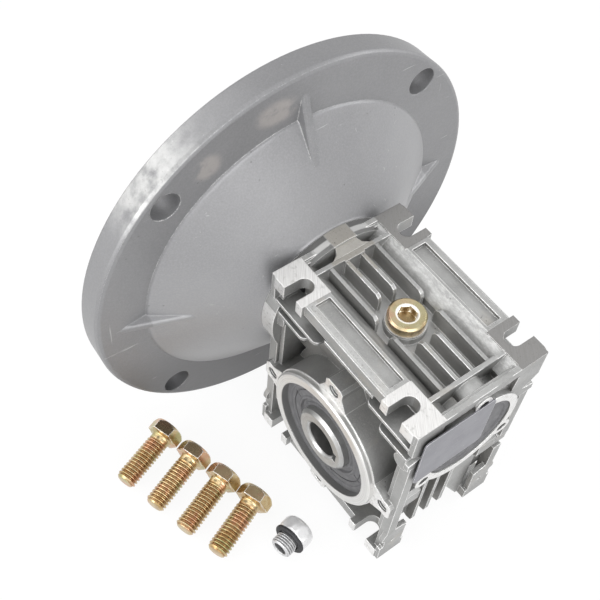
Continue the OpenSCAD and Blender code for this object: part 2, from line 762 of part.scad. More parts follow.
module bearing_ring_inner(inner_r, outer_r, width) {
    mid = (inner_r + outer_r) / 2;
    step = groove_r(inner_r, outer_r) * 0.72;
    difference() {
        cylinder(r = mid - step, h = width);
        translate([0, 0, -1]) cylinder(r = inner_r, h = width + 2);
        translate([0, 0, width / 2]) rotate_extrude() translate([mid, 0]) circle(r = groove_r(inner_r, outer_r));
    }
}

// Balls joined by the ribbon of their cage
module ball_set(inner_r, outer_r, width, count) {
    mid = (inner_r + outer_r) / 2;
    ball_r = groove_r(inner_r, outer_r) - ball_gap;
    translate([0, 0, width / 2]) {
        for (a = [0:360 / count:359]) rotate([0, 0, a]) translate([mid, 0, 0]) sphere(r = ball_r, $fn = 32);
        translate([0, 0, -ball_r * 0.4]) difference() {
            cylinder(r = mid + 0.4, h = ball_r * 0.8);
            translate([0, 0, -1]) cylinder(r = mid - 0.4, h = ball_r * 0.8 + 2);
        }
    }
}

module at_output_bearing(side) {
    y = side > 0 ? output_bearing_y : -output_bearing_y - output_bearing_width;
    translate([0, y, 0]) rotate([-90, 0, 0]) children();
}

module at_worm_bearing(x) {
    translate([x, 0, centre_distance]) rotate([0, 90, 0]) children();
}

output_ring = [hub_diameter / 2, output_bearing_outside / 2];
input_ring = [quill_diameter / 2, input_bearing_outside / 2];
end_ring = [end_journal_diameter / 2, end_bearing_outside / 2];

module output_bearing_outer(side) {
    color(bearing_steel) at_output_bearing(side)
        bearing_ring_outer(output_ring[0], output_ring[1], output_bearing_width);
}

module output_bearing_inner(side) {
    color(bearing_steel) at_output_bearing(side)
        bearing_ring_inner(output_ring[0], output_ring[1], output_bearing_width);
}

module output_balls(side) {
    color(bearing_steel) at_output_bearing(side)
        ball_set(output_ring[0], output_ring[1], output_bearing_width, 9);
}

module input_bearing_outer() {
    color(bearing_steel) at_worm_bearing(input_bearing_x)
        bearing_ring_outer(input_ring[0], input_ring[1], input_bearing_width);
}

module input_bearing_inner() {
    color(bearing_steel) at_worm_bearing(input_bearing_x)
        bearing_ring_inner(input_ring[0], input_ring[1], input_bearing_width);
}

module input_balls() {
    color(bearing_steel) at_worm_bearing(input_bearing_x)
        ball_set(input_ring[0], input_ring[1], input_bearing_width, 12);
}

module end_bearing_outer() {
    color(bearing_steel) at_worm_bearing(end_bearing_x)
        bearing_ring_outer(end_ring[0], end_ring[1], end_bearing_width);
}

module end_bearing_inner() {
    color(bearing_steel) at_worm_bearing(end_bearing_x)
        bearing_ring_inner(end_ring[0], end_ring[1], end_bearing_width);
}

module end_balls() {
    color(bearing_steel) at_worm_bearing(end_bearing_x)
        ball_set(end_ring[0], end_ring[1], end_bearing_width, 8);
}

// Output shaft and wheel

rim_bore_r = wheel_root_r - 3.6;

module output_shaft() {
    r = hub_diameter / 2;
    end = hub_length / 2;
    bore = output_bore / 2;
    shoulder = output_bearing_y;
    color(machined) difference() {
        turned_y([[-end, bore + 1], [-end, r - 1.2], [-end + 1.2, r], [-shoulder, r],
                  [-shoulder, r + 1.8], [-wheel_width / 2, r + 1.8], [-wheel_width / 2, rim_bore_r],
                  [wheel_width / 2, rim_bore_r], [wheel_width / 2, r + 1.8], [shoulder, r + 1.8],
                  [shoulder, r], [end - 1.2, r], [end, r - 1.2], [end, bore + 1],
                  [end - 1, bore], [-end + 1, bore]]);
        block([0, -end - 1, -output_key_width / 2],
              [output_key_height - bore, end + 1, output_key_width / 2]);
    }
}

module worm_wheel_rim() {
    twist = wheel_width * lead / (2 * PI * worm_pitch_r) / wheel_pitch_r * 180 / PI;
    color(bronze) difference() {
        translate([0, -wheel_width / 2, 0]) rotate([-90, 0, 0]) rotate([0, 0, -twist / 2])
            linear_extrude(wheel_width, twist = -twist, slices = wheel_slices)
                polygon([for (k = [0:wheel_teeth - 1]) each wheel_tooth(k * 360 / wheel_teeth)]);
        round_y(rim_bore_r, -wheel_width, wheel_width);
    }
}

// Worm shaft: hollow end for the motor shaft, three-start thread, closed end journal

module worm_shaft() {
    q = quill_diameter / 2;
    bore = input_bore / 2;
    j = end_journal_diameter / 2;
    half = thread_length / 2;
    turn = 360 * thread_length / lead;
    color(machined) union() {
        difference() {
            turned_x([[quill_end_x, bore + 0.8], [quill_end_x, q - 0.8], [quill_end_x + 0.8, q],
                      [quill_inner_x, q], [quill_inner_x + 1.5, q - 1.5],
                      [quill_inner_x + 1.5, worm_root_r + 1], [-half - 0.7, worm_root_r],
                      [half + 0.7, worm_root_r], [half + 2.2, worm_root_r + 1.6],
                      [end_bearing_x, worm_root_r + 2.2], [end_bearing_x, j],
                      [end_bearing_out_x + 0.2 - 0.6, j], [end_bearing_out_x + 0.2, j - 0.6],
                      [end_bearing_out_x + 0.2, 0], [bore_bottom_x + 1.5, 0], [bore_bottom_x, bore],
                      [quill_end_x + 0.8, bore]]);
            block([quill_end_x - 1, -input_key_width / 2, centre_distance + bore - 2],
                  [bore_bottom_x, input_key_width / 2, centre_distance + bore + input_key_depth]);
        }
        translate([-half, 0, centre_distance]) rotate([0, 90, 0]) rotate([0, 0, -turn / 2])
            linear_extrude(thread_length, twist = -turn, slices = thread_slices)
                polygon([for (k = [0:worm_starts - 1]) each worm_start(k * 360 / worm_starts)]);
    }
}

// Filler plug in the middle of the worm side

module filler_washer() {
    color(machined) translate([0, 0, boss_top]) difference() {
        cylinder(r = boss_r - 0.1, h = 0.8);
        translate([0, 0, -1]) cylinder(d = plug_thread + 0.2, h = 3);
    }
}

module filler_plug() {
    r = plug_diameter / 2;
    seat = boss_top + 0.8;
    height = 3.6;
    color(yellow_zinc) difference() {
        union() {
            translate([0, 0, seat]) rotate_extrude()
                polygon([[0, 0], [r, 0], [r, height - 0.7], [r - 0.7, height], [0, height]]);
            translate([0, 0, seat - 7]) cylinder(d = plug_thread, h = 8);
        }
        translate([0, 0, seat + height - 3]) cylinder(d = plug_socket / cos(30), h = 5, $fn = 6);
        translate([0, 0, seat + height - 0.5]) cylinder(r1 = plug_socket / 2, r2 = plug_socket / 2 + 1, h = 0.8);
    }
}

// Bare nameplate on the closed end

plate_corner = 2;
plate_thickness = 0.5;

module nameplate() {
    y0 = -half_width + 3.6;
    z1 = beam_low_z;
    color(plate_metal)
        translate([ring_face_x, y0, z1 - plate_height]) rotate([90, 0, 90]) linear_extrude(plate_thickness)
            union() {
                translate([plate_corner, 0]) square([plate_width - 2 * plate_corner, plate_height]);
                translate([0, plate_corner]) square([plate_width, plate_height - 2 * plate_corner]);
                for (u = [plate_corner, plate_width - plate_corner])
                    for (v = [plate_corner, plate_height - plate_corner])
                        translate([u, v]) circle(r = plate_corner);
            }
}

// Hardware supplied loose, lying on the surface that the reducer lies on

module on_rest_plane() {
    translate([end_x, 0, -base_height]) rotate([0, -rest_tilt, 0]) children();
}

// Hexagon bolt along +X from its tip, with a round fillet under its head
module hex_bolt() {
    shank_r = bolt_diameter / 2;
    chamfer_r = bolt_flats / 2 * 0.98;
    rotate([0, 90, 0]) rotate_extrude()
        polygon([[0, 0], [shank_r - 0.9, 0], [shank_r, 0.8], [shank_r, bolt_length - 1.2],
                 [shank_r + 0.5, bolt_length - 0.3], [shank_r + 0.9, bolt_length + 0.2],
                 [0, bolt_length + 0.2]]);
    intersection() {
        translate([bolt_length, 0, 0]) rotate([0, 90, 0]) rotate([0, 0, 30 + bolt_roll])
            cylinder(r = head_corner_r, h = bolt_head_height, $fn = 6);
        translate([bolt_length, 0, 0]) rotate([0, 90, 0]) rotate_extrude()
            polygon([[0, 0], [head_corner_r + 1, 0], [head_corner_r + 1, bolt_head_height - 1.4],
                     [chamfer_r, bolt_head_height], [0, bolt_head_height]]);
    }
}

// The bolts lie in a slanting row; each has moved and turned a little in it
bolt_row = [-46.5, -87.3];
bolt_row_turn = 14.3;
bolt_turn = 108;
bolt_nudges = [[0, 0, 0], [0.4, -0.2, 0.8], [0.5, -0.5, 1.1], [0, 0.1, 2.1]];
bolt_roll = 9.5;

module motor_bolts() {
    color(yellow_zinc) on_rest_plane() for (i = [0:3])
        translate([bolt_row[0] - end_x + i * bolt_spacing * cos(bolt_row_turn) + bolt_nudges[i][0],
                   bolt_row[1] + i * bolt_spacing * sin(bolt_row_turn) + bolt_nudges[i][1], 0])
            rotate([0, 0, bolt_turn + bolt_nudges[i][2]]) rotate([0, lie_angle, 0])
                translate([0, 0, bolt_diameter / 2]) hex_bolt();
}

// A bolt rests on its tip and on the lower corner of its head
lie_angle = -asin((head_corner_r * cos(30 - bolt_roll) - bolt_diameter / 2) / bolt_length);

vent_thread_r = 4.5;
vent_r = 6.6;
vent_seat = 6.2;
vent_end = 12.8;
vent_place = [15, -56.4];
vent_turn = 101.5;

// The vent plug lies on its head, with its threaded end off the surface
module vent_place_at() {
    on_rest_plane() translate([vent_place[0] - end_x, vent_place[1], vent_r]) rotate([0, 0, vent_turn])
        rotate([0, 90, 0]) children();
}

module vent_plug() {
    color(machined) vent_place_at() difference() {
        union() {
            rotate_extrude() polygon([[0, 0], [vent_thread_r - 0.5, 0], [vent_thread_r, 0.6],
                                      [vent_thread_r, vent_seat + 0.5], [0, vent_seat + 0.5]]);
            intersection() {
                translate([0, 0, vent_seat]) rotate([0, 0, 8]) cylinder(r = vent_r * 1.08, h = 7, $fn = 6);
                rotate_extrude() polygon([[0, vent_seat], [vent_r - 0.5, vent_seat], [vent_r, vent_seat + 0.7],
                                          [vent_r, vent_end - 2.2], [vent_r - 0.5, vent_end - 1],
                                          [vent_r - 1.9, vent_end], [0, vent_end]]);
            }
        }
        translate([0, 0, -1]) cylinder(r = 2.7, h = vent_seat + 1);
    }
}

module vent_washer() {
    color(dark_rubber) vent_place_at() difference() {
        rotate_extrude() polygon([[vent_thread_r - 1, vent_seat - 1.4], [vent_r - 0.4, vent_seat - 1.4],
                                  [vent_r, vent_seat - 1], [vent_r, vent_seat - 0.3],
                                  [vent_r - 0.3, vent_seat], [vent_thread_r - 1, vent_seat]]);
        cylinder(r = vent_thread_r + 0.1, h = 30, center = true);
    }
}

housing();
output_cover();
cover_screws();
cover_gasket();
motor_flange();
flange_screws();
flange_gasket();
output_seal_near();
output_seal_far();
input_seal();
worm_end_cap();
bearing_circlip();
filler_plug();
filler_washer();
nameplate();
output_bearing_outer(-1);  // output_bearing_near_outer
output_bearing_outer(1);  // output_bearing_far_outer
input_bearing_outer();
end_bearing_outer();
output_shaft();
worm_wheel_rim();
output_bearing_inner(-1);  // output_bearing_near_inner
output_bearing_inner(1);  // output_bearing_far_inner
worm_shaft();
input_bearing_inner();
end_bearing_inner();
output_balls(-1);  // output_balls_near
output_balls(1);  // output_balls_far
input_balls();
end_balls();
motor_bolts();
vent_plug();
vent_washer();
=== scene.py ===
import json
import math

import bmesh
import bpy
from mathutils import Matrix, Vector


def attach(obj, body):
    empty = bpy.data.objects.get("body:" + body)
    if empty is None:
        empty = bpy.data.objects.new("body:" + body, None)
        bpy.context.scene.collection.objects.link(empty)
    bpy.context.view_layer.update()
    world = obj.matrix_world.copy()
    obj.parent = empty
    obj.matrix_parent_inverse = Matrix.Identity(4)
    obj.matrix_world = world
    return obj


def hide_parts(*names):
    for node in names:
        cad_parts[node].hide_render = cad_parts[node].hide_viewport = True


MM = 0.001

# Places and radii of the CAD model, in millimetres
WORM_Z = 30.0  # axis of the worm and of the flange
PAD_Z = 57.0  # pads of the worm side
BASE_Z = -40.0  # pads of the output side
FOOT_X = 37.5  # ends of the pads
BEAM_Y = 16.0  # inner edges of pads and beams
RIB_X = 30.0  # outer faces of the inner ribs
END_X = 38.5  # ring round the cap of the closed end
LUG_Y = 28.0  # lug faces of both output sides
LUG_HOLE_AT = 32.5  # tapped holes of the lugs, from the output axis
LUG_THREAD_PITCH = 0.8
RING_R = 27.5  # spigots of both output sides
SEAT_R = 23.5  # seats of the output bearings
BORE_R = 7.0  # output bore
SOCKET_R = 3.0  # socket of the filler plug, half its width over flats
BOSS_R = 29.0  # boss of the motor end
BOSS_END_X = -33.5
FLANGE_FACE_X = -61.5
RIM_R = 82.55  # rim of the flange
CONE_R = 63.0  # edge between the cone and the flat ring of the flange

# Pale lip painted round the boss of the motor end
LIP_START = -37.4
LIP_END = -35.4

# The surface that the flange's rim and the pads at the closed end stand on, tilted in this frame
REST_EDGE = (FOOT_X, 0, BASE_Z)
REST_TILT = math.atan((RIM_R - WORM_Z + BASE_Z) / (FOOT_X - FLANGE_FACE_X))

# Loose motor bolts, in millimetres. The row is measured along the surface, from its edge.
BOLT_R = 4.3
BOLT_ROOT_R = 3.5
BOLT_NECK_R = 4.05
BOLT_LENGTH = 23.2
BOLT_PITCH = 1.46
BOLT_FLATS = 12.6
HEAD_HEIGHT = 5.2
HEAD_CORNER_R = BOLT_FLATS / 2 / math.cos(math.radians(30))
HEAD_CHAMFER_R = BOLT_FLATS / 2 * 0.98
HEAD_CHAMFER = 1.4
WASHER_FACE_R = BOLT_FLATS / 2 * 0.96
WASHER_FACE = 0.25
TIP_R = BOLT_ROOT_R - 0.15
TIP_ROUNDING = 0.15
THREAD_GAP = 2.2  # from the end of the thread to the head
# Fillet under the head, as distances from the head and out from the neck
HEAD_FILLET = ((1.3, 0.0), (0.9, 0.05), (0.6, 0.18), (0.35, 0.42), (0.15, 0.75), (0.02, 1.1))
THREAD_TURNS = 0.3  # how far each bolt's thread is turned from the one before, in turns
BOLT_ROLL = 9.5
BOLT_SPACING = 16.2
BOLT_ROW = (-84.0, -87.3)
BOLT_ROW_TURN = 14.3
BOLT_TURN = 108
BOLT_NUDGES = ((0, 0, 0), (0.4, -0.2, 0.8), (0.5, -0.5, 1.1), (0, 0.1, 2.1))  # shifts and a turn

# Loose vent plug, resting on the round of its head with its axis along the surface
VENT_THREAD_R = 4.5
VENT_ROOT_R = 3.95
VENT_BORE_R = 2.7
VENT_PITCH = 1.0
VENT_SEAT = 6.2
VENT_R = 6.6
VENT_END = 12.8
VENT_HEX_R = VENT_R * 1.08
VENT_TIP_R = VENT_ROOT_R - 0.1
VENT_TIP_ROUNDING = 0.12
VENT_THREAD_END = 5.0
VENT_THREAD_TURN = 0.3
VENT_OUTLINE = ((VENT_SEAT, 6.1), (VENT_SEAT + 0.7, VENT_R), (VENT_END - 2.2, VENT_R),
                (VENT_END - 1.0, 6.1), (VENT_END - 0.35, 5.3), (VENT_END, 4.6))
VENT_RINGS = (VENT_SEAT, VENT_SEAT + 0.35, VENT_SEAT + 0.7, 8.8, VENT_END - 2.2, VENT_END - 1.6,
              VENT_END - 1.0, VENT_END - 0.65, VENT_END - 0.35, VENT_END)
VENT_ROLL = 8
VENT_PLACE = (-22.5, -56.4)
VENT_TURN = 101.5

# Bridge over the motor end, one side of it as X and Y, and how its top falls towards the inner rib
BRIDGE_TOP = 58.15
BRIDGE_LOW = 46.0
BRIDGE_FALL = 0.3
FALL_START = -34.0
TOP_SHARE = 0.97  # width of the top against that of the foot
BRIDGE_SIDE = ((-39.9, 3.0), (-37.5, 3.6), (-35.4, 4.3), (-33.0, 4.7), (-31.2, 5.8), (-29.9, 8.2))

# Sloping floor of the cells beside the bridge, as Y and Z
CELL_START = -35.3
CELL_END = -29.8
CELL_SLOPE = ((4.0, 46.0), (16.6, 46.0), (16.6, 56.6), (15.6, 56.2), (11.6, 50.8), (10.0, 49.8),
              (4.0, 49.6))

# Values of the root attribute, which the materials of threaded pieces read
CREST = 0.0
ROOT = 1.0
BORE = 1.5
HEAD = -1.0

AROUND = 72
ROWS_PER_TURN = 12
SHARP_ANGLE = 32  # degrees
RAY_SAMPLES = 6

# Camera
FOCAL_PIXELS = 1006.5
PHOTO_PIXELS = 600
SENSOR = 36

# Floor, its half width in metres and its drop under the object in millimetres, and levels of the white
FLOOR_HALF = 3
FLOOR_DROP = 0.05
FLOOR_GREY = 0.86
FLOOR_GLOW = 1.02
FLOOR_GLOW_SHARE = 0.9
WORLD_LIGHT = 0.45
WORLD_SEEN = 1.0


# Node helpers

class Nodes:
    """A material's node tree, with sockets as values. Coordinates are in millimetres."""

    def __init__(self, name):
        self.material = bpy.data.materials.new(name)
        self.material.use_nodes = True
        self.tree = self.material.node_tree
        self.tree.nodes.clear()
        output = self.tree.nodes.new("ShaderNodeOutputMaterial")
        self.shader = self.tree.nodes.new("ShaderNodeBsdfPrincipled")
        self.tree.links.new(self.shader.outputs[0], output.inputs["Surface"])
        place = self.tree.nodes.new("ShaderNodeTexCoord").outputs["Object"]
        self.place = self.vector("SCALE", place, scale=1.0 / MM)
        self.x, self.y, self.z = self.parts(self.place)

    def put(self, socket, value):
        if value is None:
            return
        if hasattr(value, "node"):
            self.tree.links.new(value, socket)
        elif isinstance(value, (tuple, list)) and len(value) == 3 and len(socket.default_value) == 4:
            socket.default_value = (*value, 1.0)
        else:
            socket.default_value = value

    def set(self, **values):
        for key, value in values.items():
            self.put(self.shader.inputs[key.replace("_", " ")], value)

    def vector(self, operation, a, b=None, scale=None):
        node = self.tree.nodes.new("ShaderNodeVectorMath")
        node.operation = operation
        self.put(node.inputs[0], a)
        self.put(node.inputs[1], b)
        if scale is not None:
            self.put(node.inputs["Scale"], scale)
        return node.outputs["Value" if operation in ("DOT_PRODUCT", "LENGTH") else "Vector"]

    def parts(self, vector):
        node = self.tree.nodes.new("ShaderNodeSeparateXYZ")
        self.put(node.inputs[0], vector)
        return node.outputs[0], node.outputs[1], node.outputs[2]

    def join(self, x, y, z):
        node = self.tree.nodes.new("ShaderNodeCombineXYZ")
        for socket, value in zip(node.inputs, (x, y, z)):
            self.put(socket, value)
        return node.outputs[0]

    def math(self, operation, a, b=None):
        node = self.tree.nodes.new("ShaderNodeMath")
        node.operation = operation
        for socket, value in zip(node.inputs, (a, b)):
            self.put(socket, value)
        return node.outputs[0]

    def mul(self, *values):
        result = values[0]
        for value in values[1:]:
            result = self.math("MULTIPLY", result, value)
        return result

    def most(self, *values):
        result = values[0]
        for value in values[1:]:
            result = self.math("MAXIMUM", result, value)
        return result

    def size(self, value):
        return self.math("ABSOLUTE", value)

    def ramp(self, value, low, high, to_low=0.0, to_high=1.0):
        """Smooth step from one result to another; low may be above high."""
        node = self.tree.nodes.new("ShaderNodeMapRange")
        node.interpolation_type = "SMOOTHSTEP"
        for socket, item in zip(node.inputs[:5], (value, low, high, to_low, to_high)):
            self.put(socket, item)
        return node.outputs[0]

    def between(self, value, low, high, soft=0.3):
        return self.mul(self.ramp(value, low - soft, low + soft),
                        self.ramp(value, high + soft, high - soft))

    def noise(self, scale, detail, rough=0.55, at=None, distortion=0.0):
        node = self.tree.nodes.new("ShaderNodeTexNoise")
        self.put(node.inputs["Vector"], self.place if at is None else at)
        node.inputs["Scale"].default_value = scale
        node.inputs["Detail"].default_value = detail
        node.inputs["Roughness"].default_value = rough
        node.inputs["Distortion"].default_value = distortion
        return node.outputs["Fac"]

    def cells(self, scale):
        node = self.tree.nodes.new("ShaderNodeTexVoronoi")
        self.put(node.inputs["Vector"], self.place)
        node.inputs["Scale"].default_value = scale
        return node.outputs["Distance"]

    def spots(self, scale, size, patch_scale, patch_low, patch_high):
        """Small round spots that come in patches."""
        near = self.ramp(self.cells(scale), size, size * 0.55)
        return self.mul(near, self.ramp(self.noise(patch_scale, 2), patch_low, patch_high))

    def moved(self, x, y, z):
        return self.vector("ADD", self.place, (x, y, z))

    def stretch(self, x, y, z):
        return self.vector("MULTIPLY", self.place, (x, y, z))

    def mix(self, factor, a, b):
        node = self.tree.nodes.new("ShaderNodeMix")
        node.data_type = "RGBA"
        self.put(node.inputs[0], factor)
        self.put(node.inputs[6], a)
        self.put(node.inputs[7], b)
        return node.outputs[2]

    def coat(self, base, colour, amount, *masks):
        """Colour laid over the base by some amount, where all masks are 1."""
        return self.mix(self.mul(*masks, amount), base, colour)

    def true_normal(self):
        return self.tree.nodes.new("ShaderNodeNewGeometry").outputs["True Normal"]

    def attribute(self, name):
        node = self.tree.nodes.new("ShaderNodeAttribute")
        node.attribute_name = name
        return node.outputs["Fac"]

    def rounded(self, radius):
        node = self.tree.nodes.new("ShaderNodeBevel")
        node.samples = RAY_SAMPLES
        node.inputs["Radius"].default_value = radius * MM
        return node.outputs[0]

    def edges(self, rounded, low=0.03, high=0.2):
        """1 along edges, where the rounded normal turns away from the face's own."""
        along = self.vector("DOT_PRODUCT", rounded, self.true_normal())
        return self.ramp(self.math("SUBTRACT", 1.0, along), low, high)

    def facing(self, x, y, z, low=0.9, high=0.98):
        along = self.vector("DOT_PRODUCT", self.true_normal(), (x, y, z))
        return self.ramp(along, low, high)

    def side_faces(self):
        """1 on faces that look along the output axis, either way."""
        return self.most(self.facing(0, -1, 0), self.facing(0, 1, 0))

    def bump(self, height, distance, strength, normal):
        node = self.tree.nodes.new("ShaderNodeBump")
        node.inputs["Strength"].default_value = strength
        node.inputs["Distance"].default_value = distance * MM
        self.put(node.inputs["Height"], height)
        self.put(node.inputs["Normal"], normal)
        return node.outputs[0]

    def open_sky(self, distance):
        """1 where nothing stands within a distance, less in corners."""
        node = self.tree.nodes.new("ShaderNodeAmbientOcclusion")
        node.samples = RAY_SAMPLES
        node.inputs["Distance"].default_value = distance * MM
        return node.outputs["AO"]


# Materials

def worm_height(m):
    """Height over the axis of the worm."""
    return m.math("SUBTRACT", m.z, WORM_Z)


def radius_x(m):
    """Distance from the axis of the worm."""
    return m.vector("LENGTH", m.join(0.0, m.y, worm_height(m)))


def radius_y(m):
    """Distance from the axis of the output shaft."""
    return m.vector("LENGTH", m.join(m.x, 0.0, m.z))


def radius_z(m):
    """Distance from the axis of the filler plug."""
    return m.vector("LENGTH", m.join(m.x, m.y, 0.0))


def lug_hole_radius(m):
    """Distance from the axis of the nearest tapped hole of an output face."""
    across = m.size(m.x)
    along = m.size(m.z)
    large = m.math("MAXIMUM", across, along)
    small = m.math("MINIMUM", across, along)
    return m.vector("LENGTH", m.join(m.math("SUBTRACT", large, LUG_HOLE_AT), small, 0.0))


def milled_faces(m):
    """Masks of the machined faces: near pads, far pads, and the lugs and rings of both sides."""
    up = m.mul(m.ramp(m.z, PAD_Z - 0.15, PAD_Z - 0.05), m.facing(0, 0, 1), m.ramp(m.size(m.x), 20.2, 20.5),
               m.ramp(m.size(m.y), BEAM_Y - 0.2, BEAM_Y))
    near_pad = m.mul(up, m.ramp(m.y, 1.0, -1.0))
    far_pad = m.mul(up, m.ramp(m.y, -1.0, 1.0))
    far_pad = m.most(far_pad, m.mul(m.ramp(m.z, BASE_Z + 0.15, BASE_Z + 0.05), m.facing(0, 0, -1)))
    radius = radius_y(m)
    lug = m.mul(m.side_faces(), m.ramp(m.size(m.y), LUG_Y - 0.15, LUG_Y - 0.05),
                m.ramp(radius, RING_R - 1.0, RING_R - 0.3))
    ring = m.mul(m.ramp(radius, RING_R + 0.25, RING_R + 0.1), m.ramp(radius, SEAT_R - 0.5, SEAT_R - 0.2),
                 m.ramp(m.size(m.y), LUG_Y - 2.0, LUG_Y - 1.6))
    end_ring = m.mul(m.facing(1, 0, 0), m.ramp(m.x, END_X - 0.2, END_X - 0.05))
    return near_pad, far_pad, lug, ring, end_ring


def cast_skin(m, grain):
    """Mottled grey of the blasted casting, with painted shade, darker and browner, on the recessed side
    walls, and painted shade in deep corners.
    """
    clouds = m.ramp(m.noise(0.07, 4), 0.35, 0.68)
    speckle = m.ramp(m.noise(1.1, 5, 0.75), 0.5, 0.75)
    base = m.mix(clouds, (0.285, 0.285, 0.28), (0.375, 0.375, 0.37))
    base = m.coat(base, (0.46, 0.46, 0.455), 0.3, m.ramp(grain, 0.3, 0.7))
    base = m.coat(base, (0.62, 0.62, 0.61), 0.25, speckle)
    tan = m.noise(0.09, 3, at=m.moved(31.0, 7.0, 3.0))
    base = m.coat(base, (0.42, 0.385, 0.33), 0.3, m.ramp(tan, 0.56, 0.72))
    # painted shade, darker and browner, on the recessed side walls; painted shade in deep corners; painted
    # light on the floor between the fins
    base = m.coat(base, (0.20, 0.19, 0.175), 0.55, m.side_faces(), m.ramp(m.size(m.y), 25.0, 24.0))
    # painted shade in deep corners, where nearby surfaces keep the light out
    base = m.coat(base, (0.14, 0.14, 0.138), 0.3, m.ramp(m.open_sky(8.0), 0.7, 0.1))
    # painted light on the floor between the fins
    base = m.coat(base, (0.62, 0.62, 0.61), 0.35, m.ramp(m.z, 55.9, 54.5), m.ramp(m.z, 38.0, 42.0),
                  m.between(m.x, -RIB_X, RIB_X), m.between(m.y, -BEAM_Y, BEAM_Y))
    # brushed slope along the far beam
    slope = m.mul(m.facing(0.0, -0.8, 0.6, 0.8, 0.93), m.ramp(m.y, 10.0, 12.0), m.ramp(m.z, 44.0, 46.0))
    brushed = m.ramp(m.noise(1.0, 5, 0.8, at=m.stretch(0.45, 1.1, 1.1)), 0.4, 0.66)
    base = m.coat(base, (0.24, 0.24, 0.236), 0.3, slope)
    return m.coat(base, (0.80, 0.80, 0.79), 0.32, slope, brushed)


def motor_end_masks(m):
    """Masks of the bridge over the motor end and of the boss on both sides of it."""
    beyond = m.math("SUBTRACT", m.size(m.y), m.ramp(m.x, -33.0, -29.5, 4.7, 9.0))
    bridge = m.mul(m.facing(0, 0, 1), m.ramp(m.z, 55.0, 56.0), m.ramp(m.x, -19.0, -21.0),
                   m.ramp(beyond, 0.3, -0.3))
    radius = radius_x(m)
    collar = m.mul(m.ramp(radius, BOSS_R - 1.7, BOSS_R - 1.4), m.ramp(radius, BOSS_R + 0.6, BOSS_R + 0.3),
                   m.ramp(m.size(m.y), 4.6, 5.2), m.ramp(m.z, 40.0, 45.0))
    return bridge, collar


def motor_end_colours(m, base, bridge, collar):
    """Speckled bridge, then the boss: painted shade of a gap at the flange, a pale lip, painted shade of a
    cell, and its end wall.
    """
    base = m.coat(base, (0.33, 0.31, 0.275), 0.7, bridge)
    base = m.coat(base, (0.20, 0.185, 0.16), 0.6, bridge, m.ramp(m.noise(1.3, 4, 0.8), 0.56, 0.64))
    # painted shade of a dark gap between the flange and the lip
    base = m.coat(base, (0.09, 0.09, 0.088), 0.85, collar, m.ramp(m.x, LIP_START, LIP_START - 0.4))
    # painted shade of a cell between the lip and the end of the boss
    base = m.coat(base, (0.13, 0.13, 0.128), 0.7, collar,
                  m.between(m.x, LIP_END + 0.2, BOSS_END_X + 0.1, 0.2))
    base = m.coat(base, (0.60, 0.60, 0.59), 0.6, collar, m.between(m.x, LIP_START, LIP_END, 0.2))
    end_wall = m.mul(m.facing(1, 0, 0), m.between(m.x, BOSS_END_X - 0.3, BOSS_END_X + 0.3, 0.1),
                     m.ramp(m.z, 44.0, 46.0))
    return m.coat(base, (0.50, 0.50, 0.49), 0.8, end_wall)


def milled_colours(m, base, near_pad, far_pad, lug, ring, end_ring):
    """Near pads with slanting strokes, painted bright as lit, far pads painted dark as shaded, pale lugs
    and the turned ring.
    """
    across = m.math("ADD", m.mul(m.x, 0.455), m.mul(m.y, 0.68))
    along = m.math("SUBTRACT", m.mul(m.x, 0.83), m.mul(m.y, 0.55))
    strokes = m.noise(1.0, 4, 0.7, at=m.join(m.mul(across, 5.0), m.mul(along, 0.1), 0.0))
    # painted light: the near pads are made bright as though lit
    near = m.mix(m.ramp(strokes, 0.3, 0.7), (0.60, 0.59, 0.58), (0.80, 0.795, 0.785))
    near = m.coat(near, (0.42, 0.415, 0.40), 0.5, m.ramp(m.noise(0.45, 4), 0.56, 0.68))
    base = m.mix(near_pad, base, near)
    # painted shade: the far pads and the pads of the output side are made dark
    far = m.mix(m.ramp(strokes, 0.3, 0.7), (0.24, 0.236, 0.23), (0.28, 0.275, 0.27))
    far = m.coat(far, (0.15, 0.14, 0.13), 0.6, m.ramp(m.noise(1.5, 4, 0.8), 0.58, 0.66))
    base = m.mix(far_pad, base, far)
    pale = m.mix(m.ramp(m.noise(0.8, 4), 0.5, 0.7), (0.78, 0.775, 0.765), (0.56, 0.55, 0.535))
    base = m.mix(m.most(lug, m.mul(end_ring, 0.9)), base, pale)
    turned = m.noise(1.0, 3, 0.6, at=m.join(m.mul(radius_y(m), 4.0), 0.0, 0.0))
    return m.mix(ring, base, m.mix(m.ramp(turned, 0.35, 0.65), (0.54, 0.535, 0.52), (0.80, 0.795, 0.78)))


